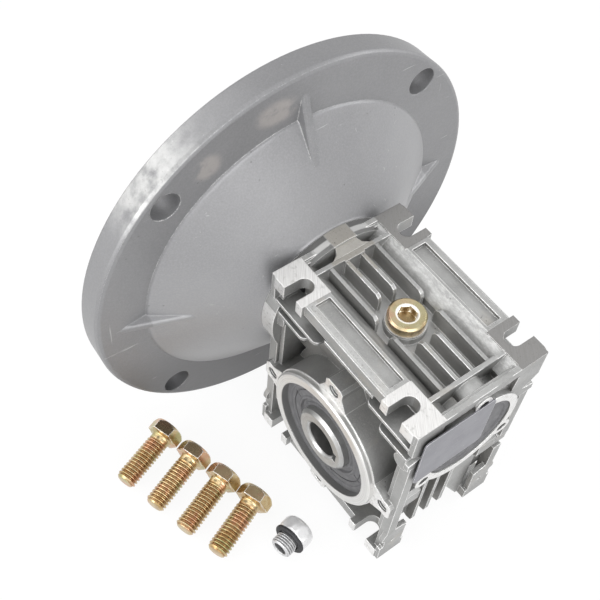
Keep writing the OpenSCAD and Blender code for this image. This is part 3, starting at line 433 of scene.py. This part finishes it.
def cast_aluminium():
    """Blasted die casting: satin grey with bright edges, partly worn and partly painted highlight, milled
    pads, lugs and rings.
    """
    m = Nodes("cast_aluminium")
    rounded = m.rounded(0.5)
    grain = m.noise(2.6, 3, 0.7)
    bridge, collar = motor_end_masks(m)
    base = motor_end_colours(m, cast_skin(m, grain), bridge, collar)
    lip = m.mul(m.facing(0, 0, 1), m.between(m.y, -27.5, -22.5), m.ramp(m.z, 50.5, 51.0))
    base = m.coat(base, (0.66, 0.66, 0.65), 0.35, lip)
    base = m.coat(base, (0.19, 0.18, 0.17), 0.65, lip, m.ramp(m.noise(1.6, 5, 0.8), 0.55, 0.62))

    milled = milled_faces(m)
    near_pad, far_pad = milled[:2]
    # bright edges, partly worn and partly painted highlight where rounded edges catch light; less on the
    # far pads, the bridge and the boss past the lip
    edge = m.mul(m.edges(rounded, 0.012, 0.09), m.ramp(m.open_sky(1.4), 0.45, 0.75))
    edge = m.mul(edge, m.ramp(m.noise(0.3, 4), 0.3, 0.5, 0.6, 1.0))
    plain = m.most(m.mul(far_pad, 0.7), m.mul(collar, m.ramp(m.x, LIP_END, LIP_END + 0.2)),
                   m.mul(bridge, 0.8))
    edge = m.mul(edge, m.math("SUBTRACT", 1.0, plain))
    base = milled_colours(m, m.coat(base, (0.96, 0.96, 0.95), 0.95, edge), *milled)

    # tapped holes of the lugs: painted light and shade along their thread, pale crests and dark roots
    hole = m.mul(m.ramp(lug_hole_radius(m), 2.9, 2.6), m.ramp(m.size(m.y), 18.0, 18.5),
                 m.ramp(m.size(m.y), LUG_Y - 0.1, LUG_Y - 0.3))
    thread = m.math("SINE", m.mul(m.y, 2.0 * math.pi / LUG_THREAD_PITCH))
    base = m.mix(hole, base, m.mix(m.ramp(thread, -0.6, 0.8), (0.22, 0.22, 0.215), (0.80, 0.80, 0.79)))
    # painted shade on the inner walls of the bearing seats
    base = m.coat(base, (0.24, 0.24, 0.24), 0.9, m.ramp(radius_y(m), SEAT_R + 0.4, SEAT_R + 0.1),
                  m.ramp(m.size(m.y), 21.0, 21.5), m.ramp(m.side_faces(), 1.0, 0.0))
    pits = m.spots(0.55, 0.16, 0.16, 0.55, 0.66)
    base = m.coat(base, (0.10, 0.10, 0.10), 0.6, pits)

    smooth = m.math("MINIMUM", m.most(*milled), 1.0)
    height = m.math("ADD", m.mul(grain, 0.5), m.mul(m.noise(0.7, 3), 0.8))
    height = m.math("SUBTRACT", height, m.mul(pits, 1.4))
    height = m.mul(height, m.ramp(smooth, 0.0, 1.0, 1.0, 0.12))
    height = m.math("ADD", height, m.mul(hole, thread, 0.9))
    m.set(Base_Color=base, Metallic=m.ramp(near_pad, 0.0, 1.0, 0.7, 0.4),
          Roughness=m.ramp(m.math("ADD", smooth, m.mul(edge, 0.5)), 0.0, 1.0, 0.46, 0.30),
          Normal=m.bump(height, 0.12, 0.9, rounded))
    return m.material


def flange_paint():
    """Satin grey paint over a casting, with scratches, a few pits, a thin worn edge with painted
    highlight, and painted shade and highlight on the flat ring and the cone.
    """
    m = Nodes("flange_paint")
    rounded = m.rounded(0.8)
    up = worm_height(m)
    radius = radius_x(m)
    grain = m.noise(1.6, 3, 0.65)
    base = m.mix(m.ramp(m.noise(0.02, 3), 0.3, 0.7), (0.22, 0.22, 0.227), (0.255, 0.255, 0.262))
    base = m.coat(base, (0.38, 0.38, 0.386), 0.22, m.ramp(grain, 0.35, 0.7))
    # painted shade: the flat ring is darker and darkest at its foot, where the shadow falls; painted
    # highlight on the sides of the cone
    flat = m.ramp(radius, CONE_R - 0.4, CONE_R + 0.4)
    base = m.coat(base, (0.10, 0.10, 0.102), 0.16, flat)
    base = m.coat(base, (0.10, 0.10, 0.103), 0.65, flat, m.ramp(up, -10.0, -50.0))
    cone = m.ramp(radius, CONE_R + 0.2, CONE_R - 0.4)
    base = m.coat(base, (0.60, 0.60, 0.61), 0.1, cone, m.ramp(m.size(m.y), 8.0, 45.0))
    # brushed, slightly tan patches where paint is thin: left of the upper gusset and above the left hole
    worn_paint = m.ramp(m.noise(0.16, 4), 0.32, 0.55)
    for y, z, along in ((-11.0, 101.0, 0.13), (-37.0, 91.5, 0.2)):
        patch = m.vector("LENGTH", m.join(m.mul(m.math("SUBTRACT", m.y, y), along),
                                          m.mul(m.math("SUBTRACT", m.z, z), 0.2), 0.0))
        base = m.coat(base, (0.50, 0.455, 0.425), 0.42, m.ramp(patch, 1.3, 0.6), worn_paint,
                      m.facing(1, 0, 0))
    scratches = m.ramp(m.noise(1.0, 2, 0.5, at=m.stretch(0.9, 0.06, 0.9), distortion=0.4), 0.72, 0.76)
    across = m.ramp(m.noise(1.0, 2, 0.5, at=m.stretch(0.9, 0.8, 0.05), distortion=0.3), 0.735, 0.77)
    marks = m.mul(m.most(scratches, across), m.ramp(m.noise(0.05, 2), 0.45, 0.6))
    pits = m.spots(0.3, 0.13, 0.07, 0.58, 0.66)
    # the front edge of the rim is worn pale, with a painted highlight that makes it brighter towards the
    # upper front, and on the upper left of it a bright patch is painted as bare metal with sheen
    lit = m.mul(m.ramp(up, 5.0, 35.0), m.ramp(m.y, 25.0, -5.0))
    edge = m.mul(m.edges(rounded, 0.05, 0.2), m.ramp(m.noise(0.5, 5, 0.7), 0.42, 0.55))
    edge = m.mul(edge, m.ramp(lit, 0.0, 1.0, 0.25, 1.0))
    bare_and_sheen = m.mul(m.ramp(radius, RIM_R - 0.95, RIM_R - 0.35), m.between(up, 50.0, 70.0, 7.0),
                 m.ramp(m.y, 0.0, -20.0), m.ramp(m.noise(0.16, 5, 0.6), 0.25, 0.62))
    base = m.coat(base, (0.56, 0.56, 0.56), 0.45, marks)
    base = m.coat(base, (0.13, 0.13, 0.13), 0.6, pits)
    # bare metal with painted sheen on the upper left of the rim, then the worn edge with painted highlight
    base = m.coat(base, (0.66, 0.66, 0.65), 0.75, bare_and_sheen)
    base = m.coat(base, (0.22, 0.22, 0.21), 0.6, bare_and_sheen, m.ramp(m.noise(0.9, 4, 0.75), 0.6, 0.66))
    base = m.coat(base, (0.76, 0.76, 0.75), 0.7, edge)
    height = m.math("ADD", m.mul(grain, 0.35), m.mul(m.noise(0.45, 2), 0.9))
    height = m.math("SUBTRACT", height, m.mul(m.most(pits, m.mul(marks, 0.4)), 1.2))
    worn_and_lit = m.most(edge, bare_and_sheen)
    m.set(Base_Color=base, Metallic=m.ramp(worn_and_lit, 0.0, 1.0, 0.35, 0.7),
          Roughness=m.ramp(worn_and_lit, 0.0, 1.0, 0.42, 0.32), Normal=m.bump(height, 0.09, 0.8, rounded))
    return m.material


def paler(colour, times):
    return tuple(min(1.0, part * times) for part in colour)


def turned_metal(name, colour, dark, roughness, metallic=0.85, grooves=(0.05, 3.0, 0.05)):
    """Turned metal with fine grooves; the three numbers of grooves stretch them along X, Y and Z."""
    m = Nodes(name)
    rounded = m.rounded(0.25)
    lines = m.noise(1.0, 4, 0.65, at=m.stretch(*grooves))
    patches = m.noise(0.25, 4)
    base = m.mix(m.ramp(lines, 0.3, 0.72), dark, colour)
    base = m.coat(base, dark, 0.3, m.ramp(patches, 0.5, 0.7))
    base = m.coat(base, paler(colour, 1.3), 0.5, m.edges(rounded))
    m.set(Base_Color=base, Metallic=metallic,
          Roughness=m.ramp(patches, 0.3, 0.7, roughness, roughness + 0.12),
          Normal=m.bump(lines, 0.03, 0.6, rounded))
    return m.material


def hub_iron():
    """Hollow output shaft: bright turned end faces, and painted shade in the bore."""
    m = Nodes("machined_iron")
    rounded = m.rounded(0.25)
    radius = radius_y(m)
    rings = m.noise(1.0, 3, 0.6, at=m.join(m.mul(radius, 3.0), 0.0, 0.0))
    base = m.mix(m.ramp(rings, 0.3, 0.7), (0.36, 0.36, 0.355), (0.54, 0.54, 0.53))
    base = m.coat(base, (0.36, 0.355, 0.345), 0.4, m.ramp(m.noise(0.4, 4), 0.5, 0.65))
    # painted shade on the wall of the bore
    inside = m.mul(m.ramp(radius, BORE_R + 0.4, BORE_R), m.ramp(m.side_faces(), 1.0, 0.0))
    base = m.coat(base, (0.20, 0.195, 0.19), 0.7, inside)
    base = m.coat(base, (0.88, 0.88, 0.87), 0.6, m.edges(rounded))
    m.set(Base_Color=base, Metallic=0.85, Roughness=m.ramp(m.noise(0.3, 4), 0.3, 0.7, 0.28, 0.40),
          Normal=m.bump(rings, 0.03, 0.6, rounded))
    return m.material


def yellow_zinc():
    """Yellow chromate over zinc: gold with pink and green tints, browner in the thread roots."""
    m = Nodes("yellow_zinc")
    rounded = m.rounded(0.25)
    root = m.attribute("root")
    head = m.ramp(root, -0.3, -0.9)
    tint = m.noise(0.12, 2, 0.5, distortion=0.5)
    base = m.mix(m.ramp(tint, 0.38, 0.5), (0.46, 0.32, 0.15), (0.56, 0.44, 0.25))
    base = m.coat(base, (0.62, 0.34, 0.22), 0.7, m.ramp(tint, 0.54, 0.62))
    green = m.noise(0.13, 2, at=m.moved(17.0, 3.0, 9.0))
    base = m.coat(base, (0.40, 0.44, 0.22), 0.5, m.ramp(green, 0.55, 0.64))
    # the filler plug is greyer, with a painted highlight on the cone of its socket and painted shade, dark
    # brown, in the socket
    base = m.coat(base, (0.40, 0.35, 0.26), 0.4, m.ramp(m.z, 40.0, 45.0))
    on_plug = m.ramp(m.z, 50.0, 52.0)
    from_axis = radius_z(m)
    cone = m.between(from_axis, SOCKET_R + 0.1, SOCKET_R + 1.1, 0.15)
    base = m.coat(base, (1.0, 0.97, 0.90), 0.9, on_plug, cone)
    base = m.coat(base, (0.22, 0.14, 0.06), 0.75, on_plug, m.ramp(from_axis, SOCKET_R + 0.3, SOCKET_R))
    # painted dark reflection on the upward flats of the heads, which are darkest, and painted highlight
    # along their edges
    base = m.coat(base, (0.12, 0.088, 0.055), 0.85, head, m.facing(0, 0, 1, 0.7, 0.97))
    base = m.coat(base, (0.30, 0.15, 0.06), 0.75, m.ramp(root, 0.4, 1.0))
    base = m.mix(m.mul(m.edges(m.rounded(0.5), 0.015, 0.08), head), base, (1.0, 0.98, 0.93))
    m.set(Base_Color=base, Metallic=0.92, Roughness=m.ramp(m.noise(0.3, 3), 0.3, 0.7, 0.24, 0.32),
          Normal=m.bump(m.noise(1.6, 3), 0.01, 0.2, rounded))
    return m.material


def bright_plug():
    """Bright turned aluminium of the vent plug, with small marks, duller on its thread, and painted shade
    in its thread roots and its bore.
    """
    m = Nodes("bright_metal")
    rounded = m.rounded(0.15)
    root = m.attribute("root")
    marks = m.ramp(m.noise(0.9, 5, 0.75), 0.56, 0.68)
    base = m.mix(m.mul(marks, 0.45), (0.76, 0.76, 0.765), (0.56, 0.56, 0.57))
    base = m.coat(base, (0.42, 0.42, 0.43), 0.6, m.ramp(root, -0.9, -0.1))
    # painted shade, dark, in the thread roots and the bore
    base = m.coat(base, (0.16, 0.16, 0.16), 0.75, m.ramp(root, 0.2, 1.0))
    base = m.coat(base, (1.0, 1.0, 1.0), 0.3, m.edges(rounded))
    m.set(Base_Color=base, Metallic=0.6, Roughness=m.ramp(m.noise(0.5, 4), 0.3, 0.7, 0.42, 0.5),
          Normal=m.bump(m.noise(1.8, 3), 0.02, 0.4, rounded))
    return m.material


def rubber(name, colour, pale, roughness=0.6):
    """Dusty rubber with slightly paler edges."""
    m = Nodes(name)
    rounded = m.rounded(0.2)
    dust = m.ramp(m.noise(0.35, 5, 0.65), 0.42, 0.7)
    base = m.mix(dust, colour, pale)
    base = m.coat(base, paler(pale, 1.8), 0.35, m.edges(rounded))
    m.set(Base_Color=base, Metallic=0.0, Roughness=m.ramp(dust, 0.0, 1.0, roughness, roughness + 0.15),
          Normal=m.bump(m.noise(2.2, 3), 0.05, 0.6, rounded))
    return m.material


def plain_plate():
    """Bare nameplate metal with a faint lilac cast and bright edges."""
    m = Nodes("plate_metal")
    rounded = m.rounded(0.25)
    lines = m.noise(1.0, 3, 0.6, at=m.stretch(1.0, 0.06, 5.0))
    base = m.mix(m.ramp(lines, 0.3, 0.7), (0.16, 0.16, 0.18), (0.20, 0.20, 0.225))
    base = m.coat(base, (0.25, 0.25, 0.275), 0.5, m.ramp(m.noise(0.12, 3), 0.35, 0.7))
    base = m.coat(base, (0.62, 0.60, 0.58), 0.25, m.ramp(m.noise(0.8, 5, 0.75), 0.6, 0.7))
    base = m.coat(base, (0.90, 0.90, 0.91), 0.8, m.edges(rounded, 0.02, 0.12))
    m.set(Base_Color=base, Metallic=0.6, Roughness=0.34, Normal=m.bump(lines, 0.02, 0.4, rounded))
    return m.material


# Shapes. Bolts and vent plug are built along +X and turned into place, and the bridge is built in place.

def turned_point(x, radius, step, roll):
    angle = math.radians(roll + 360.0 * step / AROUND)
    return Vector((x, radius * math.sin(angle), -radius * math.cos(angle)))


def hexagon_radius(corner_r, step):
    """Distance from the axis to a hexagon that has a corner at step 0."""
    angle = math.radians(360.0 * step / AROUND % 60.0 - 30.0)
    return corner_r * math.cos(math.radians(30)) / math.cos(angle)


class Shell:
    """One closed shell of rings round the X axis, each point with its value of the root attribute."""

    def __init__(self, mesh, root, roll):
        self.mesh = mesh
        self.root = root
        self.roll = roll
        self.last = None

    def point(self, x, radius, step, root):
        vertex = self.mesh.verts.new(turned_point(x, radius, step, self.roll))
        vertex[self.root] = root
        return vertex

    def bridge(self, ring):
        for j in range(AROUND):
            k = (j + 1) % AROUND
            self.mesh.faces.new((self.last[j], ring[j], ring[k], self.last[k]))

    def ring(self, x, radius, root=CREST):
        """Add a ring; x may be a number or a function of the step, and so may the radius."""
        ring = []
        for j in range(AROUND):
            x_here = x(j) if callable(x) else x
            radius_here = radius(j) if callable(radius) else radius
            ring.append(self.point(x_here, radius_here, j, root))
        if self.last:
            self.bridge(ring)
        else:
            self.mesh.faces.new(ring)
        self.last = ring

    def thread(self, start, end, pitch, crest_r, root_r, start_r, end_r, turn):
        """Threaded stretch whose rows follow the helix and close to plain rings at both ends."""
        rows = 2 * ROWS_PER_TURN + math.ceil((end - start) / pitch * ROWS_PER_TURN) + 1
        grid = []
        for i in range(rows):
            swing = abs(2.0 * ((i / ROWS_PER_TURN + turn) % 1.0) - 1.0)
            ridge = min(1.0, max(0.0, (swing - 0.22) / 0.6))
            row = []
            for j in range(AROUND):
                x = start + (i / ROWS_PER_TURN - 1.0 + j / AROUND) * pitch
                x = min(max(x, start), end)
                fade = min(1.0, (end - x) / pitch)
                radius = end_r + (root_r + (crest_r - root_r) * ridge - end_r) * fade
                radius = min(radius, start_r + (x - start))
                row.append(self.point(x, radius, j, ROOT - ridge if start < x < end else CREST))
            grid.append(row)
        self.bridge(grid[0])
        for i in range(rows - 1):
            for j in range(AROUND):
                k = (j + 1) % AROUND
                jump = ROWS_PER_TURN if k == 0 else 0
                if i + jump + 1 < rows:
                    corners = (grid[i][j], grid[i + 1][j], grid[i + jump + 1][k], grid[i + jump][k])
                    self.mesh.faces.new(corners)
        self.last = grid[-1]

    def close(self):
        self.mesh.faces.new(self.last)


def add_bolt(mesh, root, turn):
    """Hexagon bolt along +X from its tip, with a rolled thread and a round fillet under its head."""
    shell = Shell(mesh, root, 30 + BOLT_ROLL)
    shell.ring(0.0, TIP_R - 0.35)
    shell.ring(0.05, TIP_R - 0.1)
    shell.ring(TIP_ROUNDING, TIP_R)
    shell.thread(TIP_ROUNDING, BOLT_LENGTH - THREAD_GAP, BOLT_PITCH, BOLT_R, BOLT_ROOT_R, TIP_R,
                 BOLT_NECK_R, turn)
    for back, out in HEAD_FILLET:
        shell.ring(BOLT_LENGTH - back, BOLT_NECK_R + out)
    top = BOLT_LENGTH + HEAD_HEIGHT

    def head_radius(j):
        return hexagon_radius(HEAD_CORNER_R, j)

    def chamfer_x(j):
        beyond = (head_radius(j) - HEAD_CHAMFER_R) / (HEAD_CORNER_R - HEAD_CHAMFER_R)
        return top - HEAD_CHAMFER * beyond

    shell.ring(BOLT_LENGTH, WASHER_FACE_R, HEAD)
    shell.ring(BOLT_LENGTH + WASHER_FACE, head_radius, HEAD)
    shell.ring(chamfer_x, head_radius, HEAD)
    shell.ring(top, HEAD_CHAMFER_R - 0.05, HEAD)
    shell.ring(top, HEAD_CHAMFER_R * 0.6, HEAD)
    shell.close()


def vent_radius(x, j):
    """Turned outline of the vent plug's head, with six flats."""
    turned = VENT_OUTLINE[-1][1]
    for (x0, r0), (x1, r1) in zip(VENT_OUTLINE, VENT_OUTLINE[1:]):
        if x0 <= x <= x1:
            turned = r0 + (r1 - r0) * (x - x0) / (x1 - x0)
            break
    return min(turned, hexagon_radius(VENT_HEX_R, j))


def add_vent_plug(mesh, root):
    """Vent plug along +X from its threaded end, with an open bore."""
    shell = Shell(mesh, root, VENT_ROLL)
    shell.ring(VENT_SEAT, VENT_BORE_R, BORE)
    shell.ring(3.0, VENT_BORE_R, BORE)
    shell.ring(0.35, VENT_BORE_R, ROOT)
    shell.ring(0.0, VENT_BORE_R + 0.3)
    shell.ring(0.0, VENT_TIP_R - 0.15)
    shell.ring(VENT_TIP_ROUNDING, VENT_TIP_R)
    shell.thread(VENT_TIP_ROUNDING, VENT_THREAD_END, VENT_PITCH, VENT_THREAD_R, VENT_ROOT_R, VENT_TIP_R,
                 VENT_ROOT_R, VENT_THREAD_TURN)
    shell.ring(VENT_SEAT - 0.02, VENT_ROOT_R)
    for x in VENT_RINGS:
        shell.ring(x, lambda j, x=x: vent_radius(x, j), HEAD)
    shell.ring(VENT_END, 3.0, HEAD)
    shell.close()


def add_prism(mesh, low, high):
    """Closed prism between two outlines of as many points."""
    rings = [[mesh.verts.new(point) for point in outline] for outline in (low, high)]
    for outline in rings:
        mesh.faces.new(outline)
    for j in range(len(low)):
        k = (j + 1) % len(low)
        mesh.faces.new((rings[0][j], rings[0][k], rings[1][k], rings[1][j]))


def add_motor_end(mesh, _root):
    """Flared bridge over the motor end, with a sloping cell on each side of it."""
    outline = [*BRIDGE_SIDE, *((x, -y) for x, y in reversed(BRIDGE_SIDE))]
    low = [(x, y, BRIDGE_LOW) for x, y in outline]
    top = [(x, y * TOP_SHARE, BRIDGE_TOP - max(0.0, x - FALL_START) * BRIDGE_FALL) for x, y in outline]
    add_prism(mesh, low, top)
    for side in (-1, 1):
        start, end = ([(x, side * y, z) for y, z in CELL_SLOPE] for x in (CELL_START, CELL_END))
        add_prism(mesh, start, end)


def on_rest_plane():
    """Frame of the surface, with its origin on the edge under the closed end."""
    return Matrix.Translation(REST_EDGE) @ Matrix.Rotation(-REST_TILT, 4, "Y")


def bolt_place(i):
    """Place of a loose bolt, tipped so that its head and its tip both touch the surface."""
    row = math.radians(BOLT_ROW_TURN)
    nudge = BOLT_NUDGES[i]
    low_corner = HEAD_CORNER_R * math.cos(math.radians(30 - BOLT_ROLL))
    lie = -math.asin((low_corner - BOLT_R) / BOLT_LENGTH)
    place = (BOLT_ROW[0] + i * BOLT_SPACING * math.cos(row) + nudge[0],
             BOLT_ROW[1] + i * BOLT_SPACING * math.sin(row) + nudge[1], 0)
    turn = Matrix.Rotation(math.radians(BOLT_TURN + nudge[2]), 4, "Z")
    return (on_rest_plane() @ Matrix.Translation(place) @ turn @ Matrix.Rotation(lie, 4, "Y")
            @ Matrix.Translation((0, 0, BOLT_R)))


def vent_place():
    turn = Matrix.Rotation(math.radians(VENT_TURN), 4, "Z")
    return on_rest_plane() @ Matrix.Translation((*VENT_PLACE, VENT_R)) @ turn


def make_piece(name, builders, node, slot):
    """One piece from closed shells in millimetres, each built and then moved to its place."""
    mesh = bmesh.new()
    root = mesh.verts.layers.float.new("root")
    for build, place in builders:
        before = set(mesh.verts)
        build(mesh, root)
        added = [vertex for vertex in mesh.verts if vertex not in before]
        bmesh.ops.transform(mesh, matrix=Matrix.Scale(MM, 4) @ place, verts=added)
    bmesh.ops.remove_doubles(mesh, verts=mesh.verts, dist=0.002 * MM)
    bmesh.ops.dissolve_degenerate(mesh, edges=mesh.edges, dist=0.001 * MM)
    bmesh.ops.recalc_face_normals(mesh, faces=mesh.faces)
    data = bpy.data.meshes.new(name)
    mesh.to_mesh(data)
    mesh.free()
    data.shade_smooth()
    data.set_sharp_from_angle(angle=math.radians(SHARP_ANGLE))
    data.materials.append(LOOKS[slot])
    piece = bpy.data.objects.new(name, data)
    bpy.context.scene.collection.objects.link(piece)
    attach(piece, "housing")
    if node:
        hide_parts(node)


# Scene

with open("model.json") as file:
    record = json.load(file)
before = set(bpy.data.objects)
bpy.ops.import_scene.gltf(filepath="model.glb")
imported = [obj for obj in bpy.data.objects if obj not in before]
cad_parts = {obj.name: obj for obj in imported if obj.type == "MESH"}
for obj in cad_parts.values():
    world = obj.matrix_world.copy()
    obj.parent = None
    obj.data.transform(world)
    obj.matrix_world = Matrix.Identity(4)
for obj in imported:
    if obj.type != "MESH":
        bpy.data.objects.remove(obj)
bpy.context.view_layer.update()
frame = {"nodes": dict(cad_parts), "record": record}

LOOKS = {
    "raw_cast": cast_aluminium(),
    "grey_cast": flange_paint(),
    "yellow_zinc": yellow_zinc(),
    "bearing_steel": turned_metal("bearing_steel", (0.62, 0.63, 0.65), (0.42, 0.43, 0.45), 0.22),
    "machined_iron": hub_iron(),
    "machined_steel": turned_metal("machined_steel", (0.55, 0.55, 0.56), (0.34, 0.34, 0.35), 0.28,
                                   grooves=(3.0, 0.05, 0.05)),
    "bronze": turned_metal("bronze", (0.62, 0.42, 0.18), (0.45, 0.29, 0.12), 0.32),
    "bright_metal": bright_plug(),
    "washer_metal": turned_metal("washer_metal", (0.62, 0.62, 0.62), (0.42, 0.42, 0.42), 0.36),
    "black_steel": turned_metal("black_steel", (0.055, 0.055, 0.06), (0.03, 0.03, 0.032), 0.42,
                                metallic=0.6),
    "seal_rubber": rubber("seal_rubber", (0.125, 0.125, 0.13), (0.175, 0.175, 0.18), 0.8),
    "dark_rubber": rubber("dark_rubber", (0.018, 0.018, 0.02), (0.05, 0.05, 0.055)),
    "plate_metal": plain_plate(),
}

slots = {item["node"]: item["material_slot"] for item in frame["record"]["subparts"]}
for name, thing in frame["nodes"].items():
    for holder in thing.material_slots:
        holder.material = LOOKS[slots[name]]

bolt_builders = []
for i in range(len(BOLT_NUDGES)):
    thread_turn = i * THREAD_TURNS
    bolt_builders.append((lambda mesh, root, turn=thread_turn: add_bolt(mesh, root, turn), bolt_place(i)))
make_piece("threaded_bolts", bolt_builders, "motor_bolts", "yellow_zinc")
make_piece("threaded_vent_plug", [(add_vent_plug, vent_place())], "vent_plug", "bright_metal")
make_piece("motor_end_bridge", [(add_motor_end, Matrix.Identity(4))], None, "raw_cast")

# Camera, worked out from the corners and circles of the photographed object
right = Vector((0.59371244, 0.80195549, 0.06612806))
down = Vector((0.67886415, -0.45506793, -0.57624356))
ahead = Vector((-0.43202893, 0.38701495, -0.81459833))
spot = Vector((118.1, -153.4, 323.9)) * MM
camera_data = bpy.data.cameras.new("camera")
camera_data.lens = FOCAL_PIXELS / PHOTO_PIXELS * SENSOR
camera_data.sensor_width = SENSOR
camera_data.clip_start = 0.01
camera_data.clip_end = 20
camera = bpy.data.objects.new("camera", camera_data)
turn = Matrix((right, -down, -ahead)).transposed()
camera.matrix_world = Matrix.Translation(spot) @ turn.to_4x4()
bpy.context.scene.collection.objects.link(camera)
bpy.context.scene.camera = camera

floor_mesh = bpy.data.meshes.new("floor")
floor_corners = [(x * FLOOR_HALF, y * FLOOR_HALF, 0) for x, y in ((-1, -1), (1, -1), (1, 1), (-1, 1))]
floor_mesh.from_pydata(floor_corners, [], [(0, 1, 2, 3)])
floor = bpy.data.objects.new("floor", floor_mesh)
floor_place = Vector(REST_EDGE) - Vector((0, 0, FLOOR_DROP))
floor.matrix_world = Matrix.Translation(floor_place * MM) @ Matrix.Rotation(-REST_TILT, 4, "Y")
bpy.context.scene.collection.objects.link(floor)


def background_rays(tree):
    """1 on rays that show the background: straight from the camera, mirrored or seen through."""
    path = tree.nodes.new("ShaderNodeLightPath")
    seen = path.outputs["Is Camera Ray"]
    for name in ("Is Glossy Ray", "Is Transmission Ray"):
        either = tree.nodes.new("ShaderNodeMath")
        either.operation = "MAXIMUM"
        tree.links.new(seen, either.inputs[0])
        tree.links.new(path.outputs[name], either.inputs[1])
        seen = either.outputs[0]
    return seen


def white_ground():
    """Pale floor that keeps the object's shadow and glows white where the background is seen."""
    material = bpy.data.materials.new("ground")
    material.use_nodes = True
    tree = material.node_tree
    tree.nodes.clear()
    output = tree.nodes.new("ShaderNodeOutputMaterial")
    diffuse = tree.nodes.new("ShaderNodeBsdfDiffuse")
    diffuse.inputs["Color"].default_value = (FLOOR_GREY, FLOOR_GREY, FLOOR_GREY, 1)
    glow = tree.nodes.new("ShaderNodeEmission")
    glow.inputs["Color"].default_value = (1, 1, 1, 1)
    glow.inputs["Strength"].default_value = FLOOR_GLOW
    share = tree.nodes.new("ShaderNodeMath")
    share.operation = "MULTIPLY"
    share.inputs[1].default_value = FLOOR_GLOW_SHARE
    mix = tree.nodes.new("ShaderNodeMixShader")
    tree.links.new(background_rays(tree), share.inputs[0])
    tree.links.new(share.outputs[0], mix.inputs[0])
    tree.links.new(diffuse.outputs[0], mix.inputs[1])
    tree.links.new(glow.outputs[0], mix.inputs[2])
    tree.links.new(mix.outputs[0], output.inputs["Surface"])
    return material


floor_mesh.materials.append(white_ground())


def soft_light(name, place, size, power):
    """Area lamp that looks at the origin, with its place and size in metres."""
    data = bpy.data.lights.new(name, "AREA")
    data.shape = "RECTANGLE"
    data.size, data.size_y = size
    data.energy = power
    light = bpy.data.objects.new(name, data)
    aim = (-Vector(place)).to_track_quat("-Z", "Y")
    light.matrix_world = Matrix.Translation(place) @ aim.to_matrix().to_4x4()
    bpy.context.scene.collection.objects.link(light)


for lamp in (
    ("front_low", (-0.2, -1.1, 0.35), (0.8, 0.6), 6.5),
    ("right", (1.1, -0.2, 0.7), (0.8, 0.8), 8),
    ("far", (0.3, 1.0, 0.6), (0.9, 0.6), 6.5),
    ("corner", (0.75, -0.8, 0.5), (0.7, 0.7), 2.5),
    ("left", (-1.1, -0.5, 0.5), (0.7, 0.7), 2),
    ("upper_left", (-0.6, -0.3, 0.95), (0.7, 0.7), 2),
    ("top", (0.0, 0.0, 1.2), (0.8, 0.8), 2),
):
    soft_light(*lamp)

world = bpy.data.worlds.new("world")
bpy.context.scene.world = world
world.use_nodes = True
tree = world.node_tree
tree.nodes.clear()
sky = tree.nodes.new("ShaderNodeBackground")
level = tree.nodes.new("ShaderNodeMapRange")
level.inputs["To Min"].default_value = WORLD_LIGHT
level.inputs["To Max"].default_value = WORLD_SEEN
tree.links.new(background_rays(tree), level.inputs["Value"])
tree.links.new(level.outputs[0], sky.inputs["Strength"])
sky.inputs["Color"].default_value = (1, 1, 1, 1)
tree.links.new(sky.outputs[0], tree.nodes.new("ShaderNodeOutputWorld").inputs["Surface"])

bpy.context.scene.view_settings.view_transform = "Standard"
